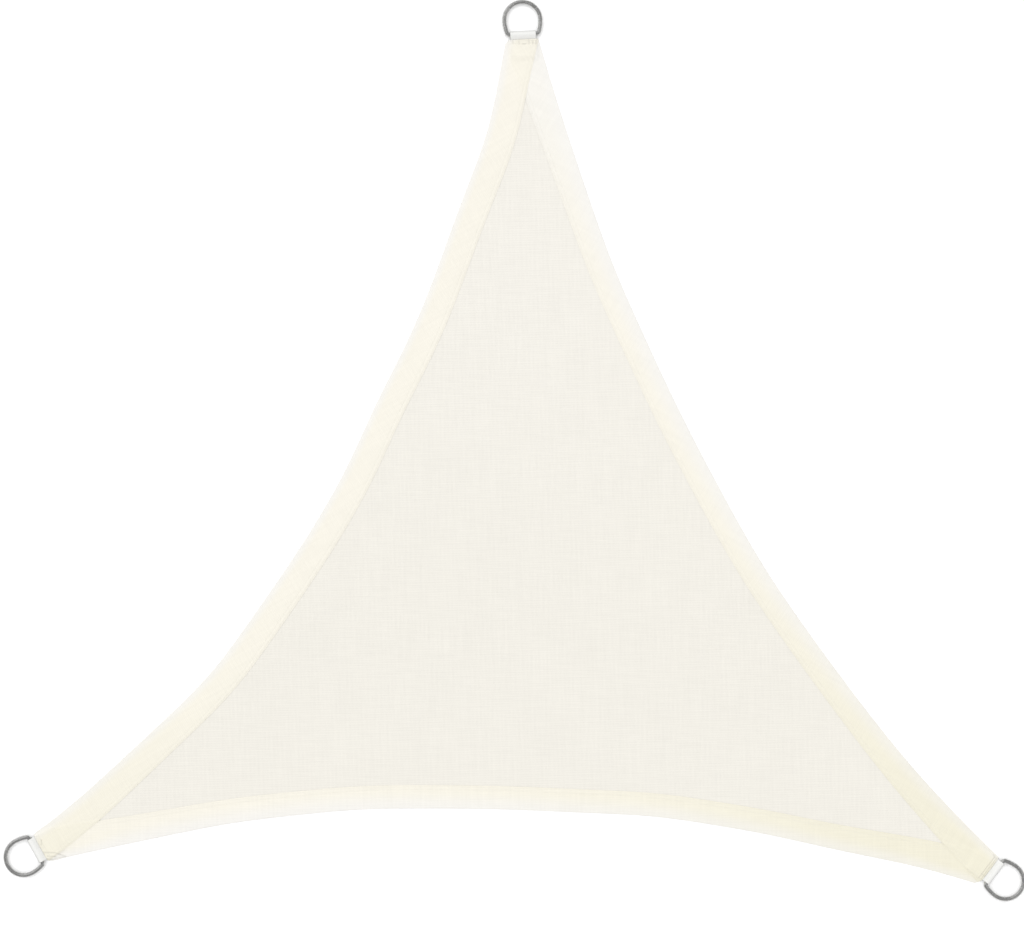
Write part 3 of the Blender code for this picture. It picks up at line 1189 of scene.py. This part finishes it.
@dataclass
class Dye:
    """Colour of the cloth over the plan, as linear light that the finish then shades.

    Each colour is the one that the finished cloth shows, and its exposure is how much brighter the
    studio's light shows the cloth than its dye.
    """

    plan: SailPlan
    panel_exposure: float = 1.220
    hem_exposure: float = 1.245
    panel: Triple = (243.6, 240.4, 232.4)
    panel_low: Triple = (241.8, 238.5, 229.7)
    panel_run: Pair = (0.45, -0.45)
    hem: Triple = (250.2, 246.0, 234.2)
    hem_warm: Triple = (243.8, 239.4, 219.6)
    fold: Triple = (248.6, 246.6, 242.0)
    fold_warm: Triple = (244.6, 241.6, 231.5)
    fold_reach_warm: float = 0.030
    fold_reach_corner: float = 0.022
    corner_run: Pair = (0.05, 0.20)
    left_reach: float = 0.45
    top_reach: float = 0.32
    lapped_warmth: float = 0.15
    # Painted shade in the corners' stitch dips, and painted highlight on the rolls beside them
    stitch_dip_painted_shade: float = 0.15
    stitch_roll_painted_highlight: float = 0.035
    tints: dict[str, HemTint] = field(
        default_factory=lambda: {
            "left": HemTint(fold_reach=0.017, warm_reach=0.66, left_warmth=0.45),
            "bottom": HemTint(fold_reach=0.040, warm_reach=0.84, left_warmth=0.08),
            "right": HemTint(fold_reach=0.040, warm_reach=0.68, top_white=0.80),
        }
    )

    def nearness(self, plan: np.ndarray, corner: Corner, reach: float) -> np.ndarray:
        """A bell curve of the distance from a corner, which is 1 at the corner."""
        return bell(np.linalg.norm(plan - self.plan.points[corner], axis=-1), reach)

    def warmth(self, tint: HemTint, plan: np.ndarray) -> np.ndarray:
        """How yellow a hem is: most at the right corner, some at the left one."""
        left = tint.left_warmth * self.nearness(plan, Corner.LEFT, self.left_reach)
        return np.clip(self.nearness(plan, Corner.RIGHT, tint.warm_reach) + left, 0.0, 1.0)

    def on_panel(self, plan: np.ndarray) -> np.ndarray:
        """Panel colour: a touch darker and yellower from the top corner towards the bottom edge."""
        low = smooth(plan[..., 1], *self.panel_run)[..., None]
        return blend(linear(self.panel), linear(self.panel_low), low) / self.panel_exposure

    def on_hem(
        self, edge: EdgeLine, plan: np.ndarray, from_edge: np.ndarray, lapped: np.ndarray, marks: np.ndarray
    ) -> np.ndarray:
        """Hem colour from its warmth, whiter towards the outer fold and deeper where hems lap, with painted
        shade along the corners' stitch dips and a painted highlight on the rolls beside them.

        Args:
            edge: The hem's edge.
            plan: Plan points.
            from_edge: Distance from the outer fold.
            lapped: 1 where another hem lies beneath, else 0.
            marks: Shares of the dip and of the roll that the corners' stitching makes, in two rows, which set
                the painted shade and the painted highlight.

        Returns:
            Linear colours.
        """
        tint = self.tints[edge.name]
        warm = np.clip(self.warmth(tint, plan) + self.lapped_warmth * lapped, 0.0, 1.0)
        reach = tint.fold_reach + (self.fold_reach_warm - tint.fold_reach) * warm
        free = smooth(self.plan.corner_depth(plan), *self.corner_run)
        reach = self.fold_reach_corner + (reach - self.fold_reach_corner) * free
        white = tint.top_white * self.nearness(plan, Corner.TOP, self.top_reach)
        share = (smooth(from_edge / reach, 0.0, 1.0) * (1.0 - white))[..., None]
        inner = blend(linear(self.hem), linear(self.hem_warm), warm[..., None])
        outer = blend(linear(self.fold), linear(self.fold_warm), warm[..., None])
        # Painted shade along the stitch dips and painted highlight on their rolls
        tone = 1.0 - self.stitch_dip_painted_shade * marks[0] + self.stitch_roll_painted_highlight * marks[1]
        return blend(outer, inner, share) * tone[..., None] / self.hem_exposure


# The sail's pieces


@dataclass
class KnitSheet:
    """The single sheet of knit that spans the whole sail, its face showing inside the hems."""

    plan: SailPlan
    heights: LayerHeights
    dye: Dye
    rows: int = 190
    columns: int = 210
    edge_points: int = 400
    row_inset: float = 0.0004
    column_inset: float = 0.0005
    level_from: float = 0.42
    foot: float = 0.0001
    rim: float = 0.0007
    rim_spread: float = 1.5

    def grid(self) -> np.ndarray:
        """Plan points of the sheet.

        Rows run level from the left edge to the right one. The lowest follows the bottom edge, and
        the rows above it flatten out over the lower third.

        Returns:
            Rows by columns by two.
        """
        share = np.linspace(0.0, 1.0, self.edge_points)
        left, bottom, right = (self.plan.outer_line(edge, share) for edge in self.plan.edges)
        left = left[::-1]
        bottom = np.concatenate([left[:1], bottom, right[:1]])
        v = np.concatenate([[0.0], np.linspace(self.row_inset, 1.0, self.rows - 1)])
        inset = self.column_inset
        u = np.concatenate([[0.0], np.linspace(inset, 1.0 - inset, self.columns - 2), [1.0]])
        y_left = left[0, 1] + (left[-1, 1] - left[0, 1]) * v
        y_right = right[0, 1] + (right[-1, 1] - right[0, 1]) * v
        x_left = np.interp(y_left, left[:, 1], left[:, 0])
        x_right = np.interp(y_right, right[:, 1], right[:, 0])
        x = blend(x_left[:, None], x_right[:, None], u)
        y = blend(y_left[:, None], y_right[:, None], u)
        drop = np.interp(x[0], bottom[:, 0], bottom[:, 1]) - y[0]
        y = y + drop * (1.0 - smooth(v, 0.0, self.level_from))[:, None]
        return np.stack([x, y], axis=-1)

    def surface(self) -> Surface:
        """The closed sheet: its face at the sheet's height and its back just off the ground.

        Returns:
            The sheet, laid out as it lies.
        """
        plan = self.grid()
        edge = np.min([self.plan.inside(line, plan)[0] for line in self.plan.edges], axis=0)
        lift = self.rim * (1.0 - rounding(np.maximum(edge, 0.0), self.rim * self.rim_spread))
        ripple = self.heights.ripple(plan)
        face = raised(plan, self.heights.sheet + ripple)
        back = raised(plan, self.foot + ripple + lift)
        points, quads = shell(face, back)
        return Surface(points, quads, points[:, :2].copy(), self.dye.on_panel(points[:, :2]))


@dataclass
class HemBand:
    """One turned hem: a flap laid over the sheet from the outer fold to its turned-under edge.

    Steps are in millimetres from the flap's outer or inner side, and so are the seams' places,
    width, middle and zone.
    """

    plan: SailPlan
    heights: LayerHeights
    dye: Dye
    edge: EdgeLine
    stations: int = 620
    outer_steps: tuple[float, ...] = (0.0, 0.08, 0.25, 0.5, 0.8, 1.2, 2.0, 3.2, 4.6)
    inner_steps: tuple[float, ...] = (
        12.5, 11.0, 10.0, 9.0, 8.0, 7.0, 5.0, 4.0, 3.0, 2.0,
        1.0, 0.6, 0.3, 0.1, 0.0,
    )
    middle_steps: int = 26
    fan: Pair = (0.020, 0.160)
    row_lengths: Pair = (0.001, 0.120)
    halvings: int = 36
    seam_places: Pair = (3.0, 9.0)
    seam_width: float = 0.9
    seam_middle: float = 6.0
    seam_zone: float = 9.0
    seam_match: float = 0.0008
    seam_pull: float = 0.00022
    free: Pair = (0.05, 0.16)
    crown: float = 0.0006
    crown_outer: Pair = (0.0, 0.012)
    crown_inner: Pair = (0.009, 0.022)
    crown_mean: float = 0.55
    crown_swing: float = 0.45
    crown_lengths: Triple = (0.047, 0.19, 0.113)
    crown_wander: float = 2.0
    pucker: float = 0.00018
    pucker_lengths: Triple = (0.0087, 0.061, 0.0143)
    pucker_wander: float = 1.7
    pucker_shift: float = 0.6
    end_crowding: float = 0.72
    end_round: float = 0.0012
    lip_width: float = 0.0032
    lip_share: float = 0.42
    foot_share: float = 0.2

    def rows(self) -> tuple[np.ndarray, np.ndarray, np.ndarray]:
        """Each row's outer point, direction and length.

        A row runs inward from the edge. It is square to the chord along most of the edge, and turns
        to lie across the corner near the ends. It stops at the hem's inner line, or at the cloth's
        other side where that comes first.

        Returns:
            Outer points, unit directions and lengths.
        """
        even = np.linspace(0.0, 1.0, self.stations)
        share = even - self.end_crowding * np.sin(2 * math.pi * even) / (2 * math.pi)
        outer = self.plan.outer_line(self.edge, share)
        normal = self.plan.chord(self.edge)[2]
        direction = np.broadcast_to(normal, outer.shape).copy()
        for corner, side in ((self.edge.start, 1.0), (self.edge.end, -1.0)):
            place = self.plan.frames[corner]
            depth = place.local(outer)[1]
            turned = unit(blend(side * place.across, normal, smooth(depth, *self.fan)[:, None]))
            direction = np.where((depth < self.fan[1])[:, None], turned, direction)
        low, high = (np.full(len(outer), length) for length in self.row_lengths)
        for _ in range(self.halvings):
            middle = (low + high) / 2
            plan = outer + direction * middle[:, None]
            inside, at = self.plan.inside(self.edge, plan)
            short = (inside < self.plan.hem_width(self.edge, at)) & (self.plan.opposite(self.edge, plan) > 0)
            low = np.where(short, middle, low)
            high = np.where(short, high, middle)
        length = (low + high) / 2
        length[[0, -1]] = 2 * self.plan.end_half_width
        return outer, direction, length

    def places(self, length: np.ndarray) -> np.ndarray:
        """Distances of a row's vertices from the outer fold: set steps at both sides, even between.

        Args:
            length: Each row's length.

        Returns:
            Rows by vertices.
        """
        first = np.array(self.outer_steps) * MM
        last = np.array(self.inner_steps) * MM
        between = np.linspace(0.0, 1.0, self.middle_steps + 2)[1:-1]
        start, end = first[-1], length - last[0]
        middle = start + (end - start)[:, None] * between
        head = np.broadcast_to(first, (len(length), len(first)))
        return np.concatenate([head, middle, length[:, None] - last], axis=1)

    def relief(self, run: np.ndarray, from_edge: np.ndarray, to_inner: np.ndarray) -> np.ndarray:
        """Low relief of the flap's face, away from the corners.

        It is a crown along the flap's middle that swells and sinks along the hem, fine puckers by
        the seams, and a groove under each seam. Along the hem, the crown and the puckers are each a
        product of two sines, the first of which wanders with a third.

        Args:
            run: Length along the hem.
            from_edge: Distance from the outer fold.
            to_inner: Distance from the inner side.

        Returns:
            Heights.
        """
        first, drift, second = self.pucker_lengths
        waves = np.sin(run / first + self.pucker_wander * np.sin(run / drift))
        waves = waves * np.sin(run / second + self.pucker_shift)
        first, drift, second = self.crown_lengths
        swing = self.crown_swing * np.sin(run / first + self.crown_wander * np.sin(run / drift))
        rolls = self.crown_mean + swing * np.sin(run / second)
        swell = smooth(from_edge, *self.crown_outer) * smooth(to_inner, *self.crown_inner)
        near = bell(to_inner / MM - self.seam_middle, self.seam_zone)
        pull = sum(bell(to_inner / MM - place, self.seam_width) for place in self.seam_places)
        return self.crown * swell * rolls + self.pucker * waves * near - self.seam_pull * pull

    def grids(self) -> tuple[np.ndarray, np.ndarray, np.ndarray, np.ndarray]:
        """The flap's two faces.

        The lower one lies just over what carries the hem, and lifts a little at the inner side. The
        upper one is the hem's thickness above it, with the relief and the corners' puckers. It thins
        to a lip at the inner side, and falls in a quarter-round at the outer fold and both ends.

        Returns:
            Upper and lower grid of points, and their distances from the outer and inner side.
        """
        outer, direction, length = self.rows()
        from_edge = self.places(length)
        to_inner = length[:, None] - from_edge
        plan = outer[:, None, :] + direction[:, None, :] * from_edge[..., None]
        depth = np.maximum(self.plan.corner_depth(plan, (self.edge.start, self.edge.end)), 0.0)
        support = self.heights.support(self.edge.layer, plan)
        thick = self.heights.press(plan)
        shape = smooth(depth, *self.free) * self.relief(run_along(outer)[:, None], from_edge, to_inner)
        shape = shape + self.heights.puckers(plan)
        fold = rounding(from_edge, self.heights.hem) * rounding(depth, self.end_round)
        lip = self.lip_share + (1.0 - self.lip_share) * smooth(to_inner, 0.0, self.lip_width)
        foot = self.foot_share - self.foot_share * rounding(to_inner, 0.5 * self.heights.hem)
        gap = self.heights.face_gap / 3
        lower = support + gap + thick * foot * rounding(from_edge, self.heights.hem)
        upper = support + 3 * gap + np.maximum(thick * lip + shape, thick * foot + gap) * fold
        upper = np.maximum(upper, lower + gap)
        return raised(plan, upper), raised(plan, lower), from_edge, to_inner

    def surface(self) -> Surface:
        """The closed flap.

        Returns:
            The flap, with its knit turned as the fold turns it: mirrored in the edge's chord.
        """
        top, bottom, from_edge, _ = self.grids()
        points, quads = shell(top[::-1], bottom[::-1])
        distance = np.tile(from_edge[::-1].ravel(), 2)
        plan = points[:, :2]
        start, along, normal, _ = self.plan.chord(self.edge)
        offset = plan - start
        mirrored = start + (offset @ along)[:, None] * along - (offset @ normal)[:, None] * normal
        laps = [self.heights.covered(edge, plan) for edge in self.plan.below(self.edge.layer)]
        lapped = np.max([np.zeros(len(plan)), *laps], axis=0)
        # The stitch marks also set painted shade and painted highlight in the hem's dye
        marks = np.array(self.heights.stitch_marks(plan))
        return Surface(points, quads, mirrored, self.dye.on_hem(self.edge, plan, distance, lapped, marks))

    def seam_lines(self) -> list[np.ndarray]:
        """The two rows of stitching by the hem's inner edge.

        Returns:
            Lines of points on its face, where a row of the grid ends at the hem's inner line.
        """
        top, _, _, to_inner = self.grids()
        inside, at = self.plan.inside(self.edge, top[:, -1, :2])
        kept = np.abs(self.plan.hem_width(self.edge, at) - inside) < self.seam_match
        halfway = to_inner[len(to_inner) // 2] / MM
        return [top[kept, int(np.argmin(np.abs(halfway - place)))] for place in self.seam_places]


@dataclass
class Stitches:
    """Rows of thread stitches that lie along lines on the cloth."""

    pitch: float = 0.0048
    length: float = 0.0040
    radius: float = 0.00030
    rise: float = 0.00028
    rings: int = 5
    sides: int = 6
    side_of_cloth: float = 1.0
    end_size: float = 0.35
    growth: float = 0.65
    sunk: float = 0.4

    def surface(self, lines: list[np.ndarray]) -> Surface:
        """One small closed bead for each stitch.

        A bead's middle line is a low half-wave from hole to hole, and its round section swells from
        both ends to the middle. It stands up from the line, or hangs under it where side_of_cloth
        is -1.

        Args:
            lines: Lines of points that the rows follow.

        Returns:
            All the beads as one surface.
        """
        places, aims = [], []
        for line in lines:
            middle = resampled(line, self.pitch)
            places.append(middle)
            run = np.gradient(middle, axis=0) if len(middle) > 1 else line[-1:] - line[:1]
            aims.append(unit(run))
        centre = np.concatenate(places)[:, None, None, :]
        aim = np.concatenate(aims)[:, None, None, :]
        up = np.broadcast_to(np.array([0.0, 0.0, self.side_of_cloth]), aim.shape)
        side = unit(np.cross(up, aim))
        share = np.linspace(0.0, 1.0, self.rings)[None, :, None, None]
        turn = np.linspace(0.0, 2 * math.pi, self.sides, endpoint=False)[None, None, :, None]
        arch = np.sin(math.pi * share)
        swell = self.radius * (self.end_size + self.growth * arch)
        lift = self.rise * arch - self.sunk * self.radius
        points = (
            centre
            + aim * (share - 0.5) * self.length
            + up * (lift + swell * np.cos(turn))
            + side * swell * np.sin(turn)
        )
        return Surface(points.reshape(-1, 3), self.bead_quads(points.shape[0]))

    def bead_quads(self, count: int) -> np.ndarray:
        """The quads of the beads: a tube each, with both six-sided ends closed by two quads.

        Args:
            count: Number of beads.

        Returns:
            Four vertex numbers for each quad.
        """
        tube = grid_quads(self.rings, self.sides, closed_columns=True)
        start_cap = np.array([[0, 3, 2, 1], [0, 5, 4, 3]])
        end_cap = start_cap[:, ::-1] + (self.rings - 1) * self.sides
        template = np.concatenate([tube, start_cap, end_cap])[:, ::-1]
        step = self.rings * self.sides
        return (template[None] + step * np.arange(count)[:, None, None]).reshape(-1, 4)


@dataclass
class WireRing:
    """A D-ring of round wire: bar, two tight bends, drawn-in legs and a half-round bow."""

    place: CornerFrame
    wire: float = 0.009
    bow_radius: float = 0.0355
    bar_to_bow: float = 0.0276
    bar_half_length: float = 0.0303
    bend_radius: float = 0.0055
    bar_to_cloth: float = 0.0105
    bar_height: float = 0.0062
    sides: int = 28
    bar_steps: int = 8
    bend_steps: int = 12
    leg_steps: int = 14
    bow_steps: int = 30

    def half_line(self) -> np.ndarray:
        """The +across half of the wire's middle line, from the bar round to the crown.

        The bow is half a circle. The leg is part of an ellipse that meets it at its widest and
        passes through the bar's end, and a round bend joins leg and bar.

        Returns:
            Points across and outward from the bar's middle.
        """
        reach = self.bar_to_bow / math.sqrt(1 - (self.bar_half_length / self.bow_radius) ** 2)
        lean = math.atan(self.bow_radius**2 * self.bar_to_bow / (reach**2 * self.bar_half_length))
        start = self.bar_half_length - self.bend_radius * math.tan(math.pi / 4 - lean / 2)
        bar = np.stack([np.linspace(0.0, start, self.bar_steps + 1)[:-1], np.zeros(self.bar_steps)], axis=1)
        turn = np.linspace(-math.pi / 2, -lean, self.bend_steps)
        rise = self.bend_radius * (1 + np.sin(turn))
        bend = np.stack([start + self.bend_radius * np.cos(turn), rise], axis=1)
        y = np.linspace(bend[-1, 1], self.bar_to_bow, self.leg_steps)[1:-1]
        leg = np.stack([self.bow_radius * np.sqrt(1 - ((self.bar_to_bow - y) / reach) ** 2), y], axis=1)
        sweep = np.linspace(0.0, math.pi / 2, self.bow_steps + 1)
        rise = self.bar_to_bow + self.bow_radius * np.sin(sweep)
        bow = np.stack([self.bow_radius * np.cos(sweep), rise], axis=1)
        return np.concatenate([bar, bend, leg, bow])

    def surface(self) -> Surface:
        """A circle carried along the closed middle line, leaning down so that the crown rests.

        Returns:
            The wire, with its cut map along in X and round it in Y.
        """
        half = self.half_line()
        line = np.concatenate([half, (half * [-1, 1])[::-1][1:-1]])
        aim = unit(np.roll(line, -1, axis=0) - np.roll(line, 1, axis=0))
        outward = np.stack([aim[:, 1], -aim[:, 0]], axis=1)
        turn = np.linspace(0.0, 2 * math.pi, self.sides, endpoint=False)
        radius = self.wire / 2
        flat = line[:, None, :] + radius * np.cos(turn)[None, :, None] * outward[:, None, :]
        rise = np.broadcast_to(radius * np.sin(turn), flat.shape[:2])
        dip = -math.asin((self.bar_height - radius) / (self.bar_to_bow + self.bow_radius))
        y = flat[..., 1] * math.cos(dip) - rise * math.sin(dip)
        z = flat[..., 1] * math.sin(dip) + rise * math.cos(dip)
        points = self.place.world(flat[..., 0], self.bar_to_cloth + y, self.bar_height + z)
        quads = grid_quads(len(line), self.sides, closed_rows=True, closed_columns=True)[:, ::-1]
        return Surface(points.reshape(-1, 3), quads, cut_grid(run_along(line), radius * turn))


@dataclass
class WebbingLoop:
    """A strap folded round the ring's bar, with both tails sewn into the corner.

    Edge steps are in millimetres from the selvedge.
    """

    ring: WireRing
    half_width: float = 0.025
    thickness: float = 0.0014
    clearance: float = 0.0003
    pinch: float = 0.001
    tail_middle: float = 0.0029
    tail_length: float = 0.0285
    arc_steps: int = 60
    step: float = 0.0007
    smoothings: int = 6
    # Painted shade along the strap's outer fold round the bar: its strength, then its reach
    fold_painted_shade: float = 0.30
    fold_reach: float = 0.0034
    edge_steps: tuple[float, ...] = (0.0, 0.12, 0.35, 0.7, 1.2, 2.0)
    even_half_width: float = 0.022
    even_steps: int = 15
    edge_round: float = 0.0009
    edge_size: Pair = (0.25, 0.75)

    def path(self) -> np.ndarray:
        """The strap's middle line seen along the bar, round the bar's middle.

        Two level tails run in to the pinch, two straight slopes join them to the bar's circle where
        they touch it, and an arc goes round the far side.

        Returns:
            Points inward and up, evenly spaced.
        """
        radius = self.ring.wire / 2 + self.clearance + self.thickness / 2
        middle = self.tail_middle - self.ring.bar_height
        ends = {}
        for side in (1.0, -1.0):
            point = np.array([self.ring.bar_to_cloth + self.pinch, middle + side * self.thickness / 2])
            toward = math.atan2(point[1], point[0])
            ends[side] = (point, toward + side * math.acos(radius / np.hypot(*point)))
        turn = np.linspace(ends[1.0][1], ends[-1.0][1] + 2 * math.pi, self.arc_steps)
        arc = radius * np.stack([np.cos(turn), np.sin(turn)], axis=1)
        reach = self.ring.bar_to_cloth + self.tail_length
        upper = np.array([[reach, ends[1.0][0][1]], ends[1.0][0]])
        lower = np.array([ends[-1.0][0], [reach, ends[-1.0][0][1]]])
        line = resampled(np.concatenate([upper, arc, lower]), self.step)
        for _ in range(self.smoothings):
            line[1:-1] = (line[:-2] + line[1:-1] + line[2:]) / 3
        return line

    def surface(self, colour: Triple) -> Surface:
        """The strap as a closed sheet with rounded selvedges.

        Each face is the middle line repeated across the strap, and moved half the thickness along
        its normal. That half falls to a quarter of itself in a quarter-round at both selvedges.

        Args:
            colour: Its dye, on which painted shade darkens a band along the outer fold round the bar.

        Returns:
            The strap, with its cut map along in X and across in Y.
        """
        line = self.path()
        aim = unit(np.gradient(line, axis=0))
        normal = np.stack([-aim[:, 1], aim[:, 0]], axis=1)
        near = np.array(self.edge_steps) * MM
        even = np.linspace(-self.even_half_width, self.even_half_width, self.even_steps)
        across = np.concatenate([-self.half_width + near, even, self.half_width - near[::-1]])
        thin, more = self.edge_size
        selvedge = rounding(self.half_width - np.abs(across), self.edge_round)
        half = self.thickness / 2 * (thin + more * selvedge)
        faces = []
        for side in (-1.0, 1.0):
            inward = line[:, None, 0] + side * normal[:, None, 0] * half
            up = line[:, None, 1] + side * normal[:, None, 1] * half
            outward = self.ring.bar_to_cloth - inward
            faces.append(self.ring.place.world(across[None, :], outward, self.ring.bar_height + up))
        points, quads = shell(*faces)
        run = run_along(line)
        layout = np.tile(cut_grid(run, across), (2, 1))
        # Painted shade: the dye darkens in a band along the outer fold, halfway along the strap
        tone = 1.0 - self.fold_painted_shade * bell(layout[:, :1] - run[-1] / 2, self.fold_reach)
        return Surface(points, quads, layout, tone * np.array(colour))


# Studio


@dataclass
class Studio:
    """Floor, light and camera. A soft box is its direction, its edge and its strength."""

    floor_size: float = 60.0
    floor_level: float = -0.0002
    centre: Pair = (-0.0227, -0.0595)
    frame_width: float = 2.016
    turn: float = math.radians(1.30)
    lens: float = 100.0
    sensor: float = 36.0
    sight: float = 200.0
    dome_light: float = 1.10
    sun_strength: float = 0.80
    sun_angle: float = math.radians(70)
    sun_from: Triple = (-0.45, 0.55, 1.0)
    room_dark: float = 0.36
    softboxes: tuple[tuple[Triple, float, float], ...] = (
        ((-0.50, 0.45, 0.74), 0.86, 0.42),
        ((0.62, -0.10, 0.78), 0.94, 0.28),
    )
    softness: float = 0.03

    def floor(self, finish: bpy.types.Material) -> None:
        """Lays a level sheet of paper just under the sail.

        Args:
            finish: The paper's material.
        """
        sides = np.array([[-1, -1], [1, -1], [1, 1], [-1, 1]]) * self.floor_size / 2
        points = raised(sides, np.full(4, self.floor_level))
        floor = Surface(points, np.array([[0, 1, 2, 3]])).made("studio_floor", finish)

    def sky(self) -> None:
        """An even white dome, in which polished metal sees a dark room with two soft boxes.

        A soft box shines where the direction's dot product with its own is above its edge.
        """
        world = bpy.data.worlds.new("studio_sky")
        bpy.context.scene.world = world
        world.use_nodes = True
        nodes, links = world.node_tree.nodes, world.node_tree.links
        place = nodes.new("ShaderNodeTexCoord").outputs["Generated"]
        light = None
        for direction, edge, strength in self.softboxes:
            dot = nodes.new("ShaderNodeVectorMath")
            dot.operation = "DOT_PRODUCT"
            links.new(place, dot.inputs[0])
            dot.inputs[1].default_value = unit(np.array(direction))
            glow = nodes.new("ShaderNodeMapRange")
            glow.interpolation_type = "SMOOTHSTEP"
            links.new(dot.outputs["Value"], glow.inputs["Value"])
            limits = (edge - self.softness, edge + self.softness, 0.0, strength)
            for socket, value in zip(list(glow.inputs)[1:5], limits):
                socket.default_value = value
            total = nodes.new("ShaderNodeMath")
            links.new(glow.outputs["Result"], total.inputs[0])
            if light is None:
                total.inputs[1].default_value = self.room_dark
            else:
                links.new(light, total.inputs[1])
            light = total.outputs[0]
        pick = nodes.new("ShaderNodeMix")
        links.new(nodes.new("ShaderNodeLightPath").outputs["Is Glossy Ray"], pick.inputs["Factor"])
        pick.inputs["A"].default_value = self.dome_light
        links.new(light, pick.inputs["B"])
        links.new(pick.outputs["Result"], nodes["Background"].inputs["Strength"])
        nodes["Background"].inputs["Color"].default_value = (1.0, 1.0, 1.0, 1.0)

    def sun(self) -> None:
        """A wide soft light from the upper left, which the rings don't mirror."""
        light = bpy.data.lights.new("studio_sun", "SUN")
        light.energy = self.sun_strength
        light.angle = self.sun_angle
        lamp = bpy.data.objects.new("studio_sun", light)
        lamp.visible_glossy = False
        lamp.rotation_mode = "QUATERNION"
        lamp.rotation_quaternion = Vector(self.sun_from).to_track_quat("Z", "Y")
        bpy.context.scene.collection.objects.link(lamp)

    def camera(self) -> None:
        """A long lens straight above the middle of the picture, turned as the sail is in it."""
        lens = bpy.data.cameras.new("photo_camera")
        lens.lens = self.lens
        lens.sensor_width = self.sensor
        lens.clip_end = self.sight
        distance = self.frame_width * self.lens / self.sensor
        camera = bpy.data.objects.new("photo_camera", lens)
        camera.location = (*self.centre, distance)
        camera.rotation_euler = (0.0, 0.0, self.turn)
        bpy.context.scene.collection.objects.link(camera)
        bpy.context.scene.camera = camera
        bpy.context.scene.view_settings.view_transform = "Standard"


@dataclass
class ShadeSail:
    """The whole sail, piece by piece."""

    plan: SailPlan
    heights: LayerHeights
    dye: Dye
    row_pitch: float = 0.0036
    tack_pitch: float = 0.0017
    line_step: float = 0.0006
    stitch_share: float = 0.82
    back_depth: float = 0.00006

    def cloth(self) -> None:
        """Sheet, hems and their stitching."""
        sheet_finish = KnitFinish("cream_knit_sheet").material()
        hem_finish = KnitFinish("cream_knit_hem", sheer=0.0).material()
        thread = ThreadFinish().material()
        sheet = KnitSheet(self.plan, self.heights, self.dye).surface().made("knit_panel", sheet_finish)
        self.report(sheet, "knit_cloth", "sail_cloth")
        going_with = []
        for edge in self.plan.edges:
            band = HemBand(self.plan, self.heights, self.dye, edge)
            hem = band.surface().made(f"hem_{edge.name}", hem_finish)
            self.report(hem, "knit_cloth", "sail_cloth")
            lines = band.seam_lines()
            seams = Stitches().surface(lines).made(f"hem_seams_{edge.name}", thread)
            self.report(seams, "knit_cloth")
            under = Stitches(radius=0.00026, rise=0.0, rings=4, side_of_cloth=-1.0)
            beads = under.surface([self.on_back(line) for line in lines])
            back = beads.made(f"back_seams_{edge.name}", thread)
            self.report(back, "knit_cloth")
            going_with += [hem, seams, back]
        going_with += self.corner_stitching()

    def on_back(self, line: np.ndarray) -> np.ndarray:
        """A line of points moved down into the sheet's back, where its thread just shows."""
        return raised(line[:, :2], KnitSheet.foot + self.heights.ripple(line[:, :2]) + self.back_depth)

    def corner_stitching(self) -> list[bpy.types.Object]:
        """The rows, tacks and pleat stitching at the three ends.

        Returns:
            One piece for each corner.
        """
        thread = ThreadFinish("cream_corner_thread").material()
        pieces = []
        for seams in self.heights.seams:
            place = self.plan.frames[seams.corner]
            beads = []
            for lines, pitch in ((seams.rows(), self.row_pitch), (seams.extras(), self.tack_pitch)):
                for line in lines:
                    even = resampled(line, self.line_step)
                    plan = place.world(even[:, 0], -even[:, 1], np.zeros(len(even)))[:, :2]
                    stitches = Stitches(pitch=pitch, length=self.stitch_share * pitch)
                    beads.append(stitches.surface([raised(plan, self.heights.face(plan))]))
            piece = joined(beads).made(f"corner_seams_{seams.corner.value}", thread)
            self.report(piece, "knit_cloth")
            pieces.append(piece)
        return pieces

    def corners(self) -> None:
        """Webbing loops and rings."""
        strap = StrapFinish()
        strap_material = strap.material()
        steel = WireFinish().material()
        for corner, place in self.plan.frames.items():
            ring = WireRing(place)
            loop = WebbingLoop(ring)
            webbing = loop.surface(strap.colour).made(f"webbing_{corner.value}", strap_material)
            self.report(webbing, "webbing", f"webbing_loop_{corner.value}")
            length = float(np.linalg.norm(np.diff(loop.path(), axis=0), axis=1).sum())
            wire = ring.surface().made(f"ring_{corner.value}", steel)
            self.report(wire, "ring_steel", f"d_ring_{corner.value}")

    def report(self, piece: bpy.types.Object, slot: str, *nodes: str) -> None:
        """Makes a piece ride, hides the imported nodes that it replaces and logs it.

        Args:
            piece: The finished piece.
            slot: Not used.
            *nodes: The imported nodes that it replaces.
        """
        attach(piece, "root")
        if nodes:
            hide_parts(*nodes)
        LOG.info("%s: %d faces", piece.name, len(piece.data.polygons))


def main() -> None:
    """Builds the sail and the studio, in order."""
    logging.basicConfig(level=logging.INFO, format="%(name)s %(message)s")
    plan = SailPlan()
    sail = ShadeSail(plan, LayerHeights(plan), Dye(plan))
    sail.cloth()
    sail.corners()
    studio = Studio()
    studio.floor(PaperFinish().material())
    studio.sky()
    studio.sun()
    studio.camera()


if __name__ == "__main__":
    main()
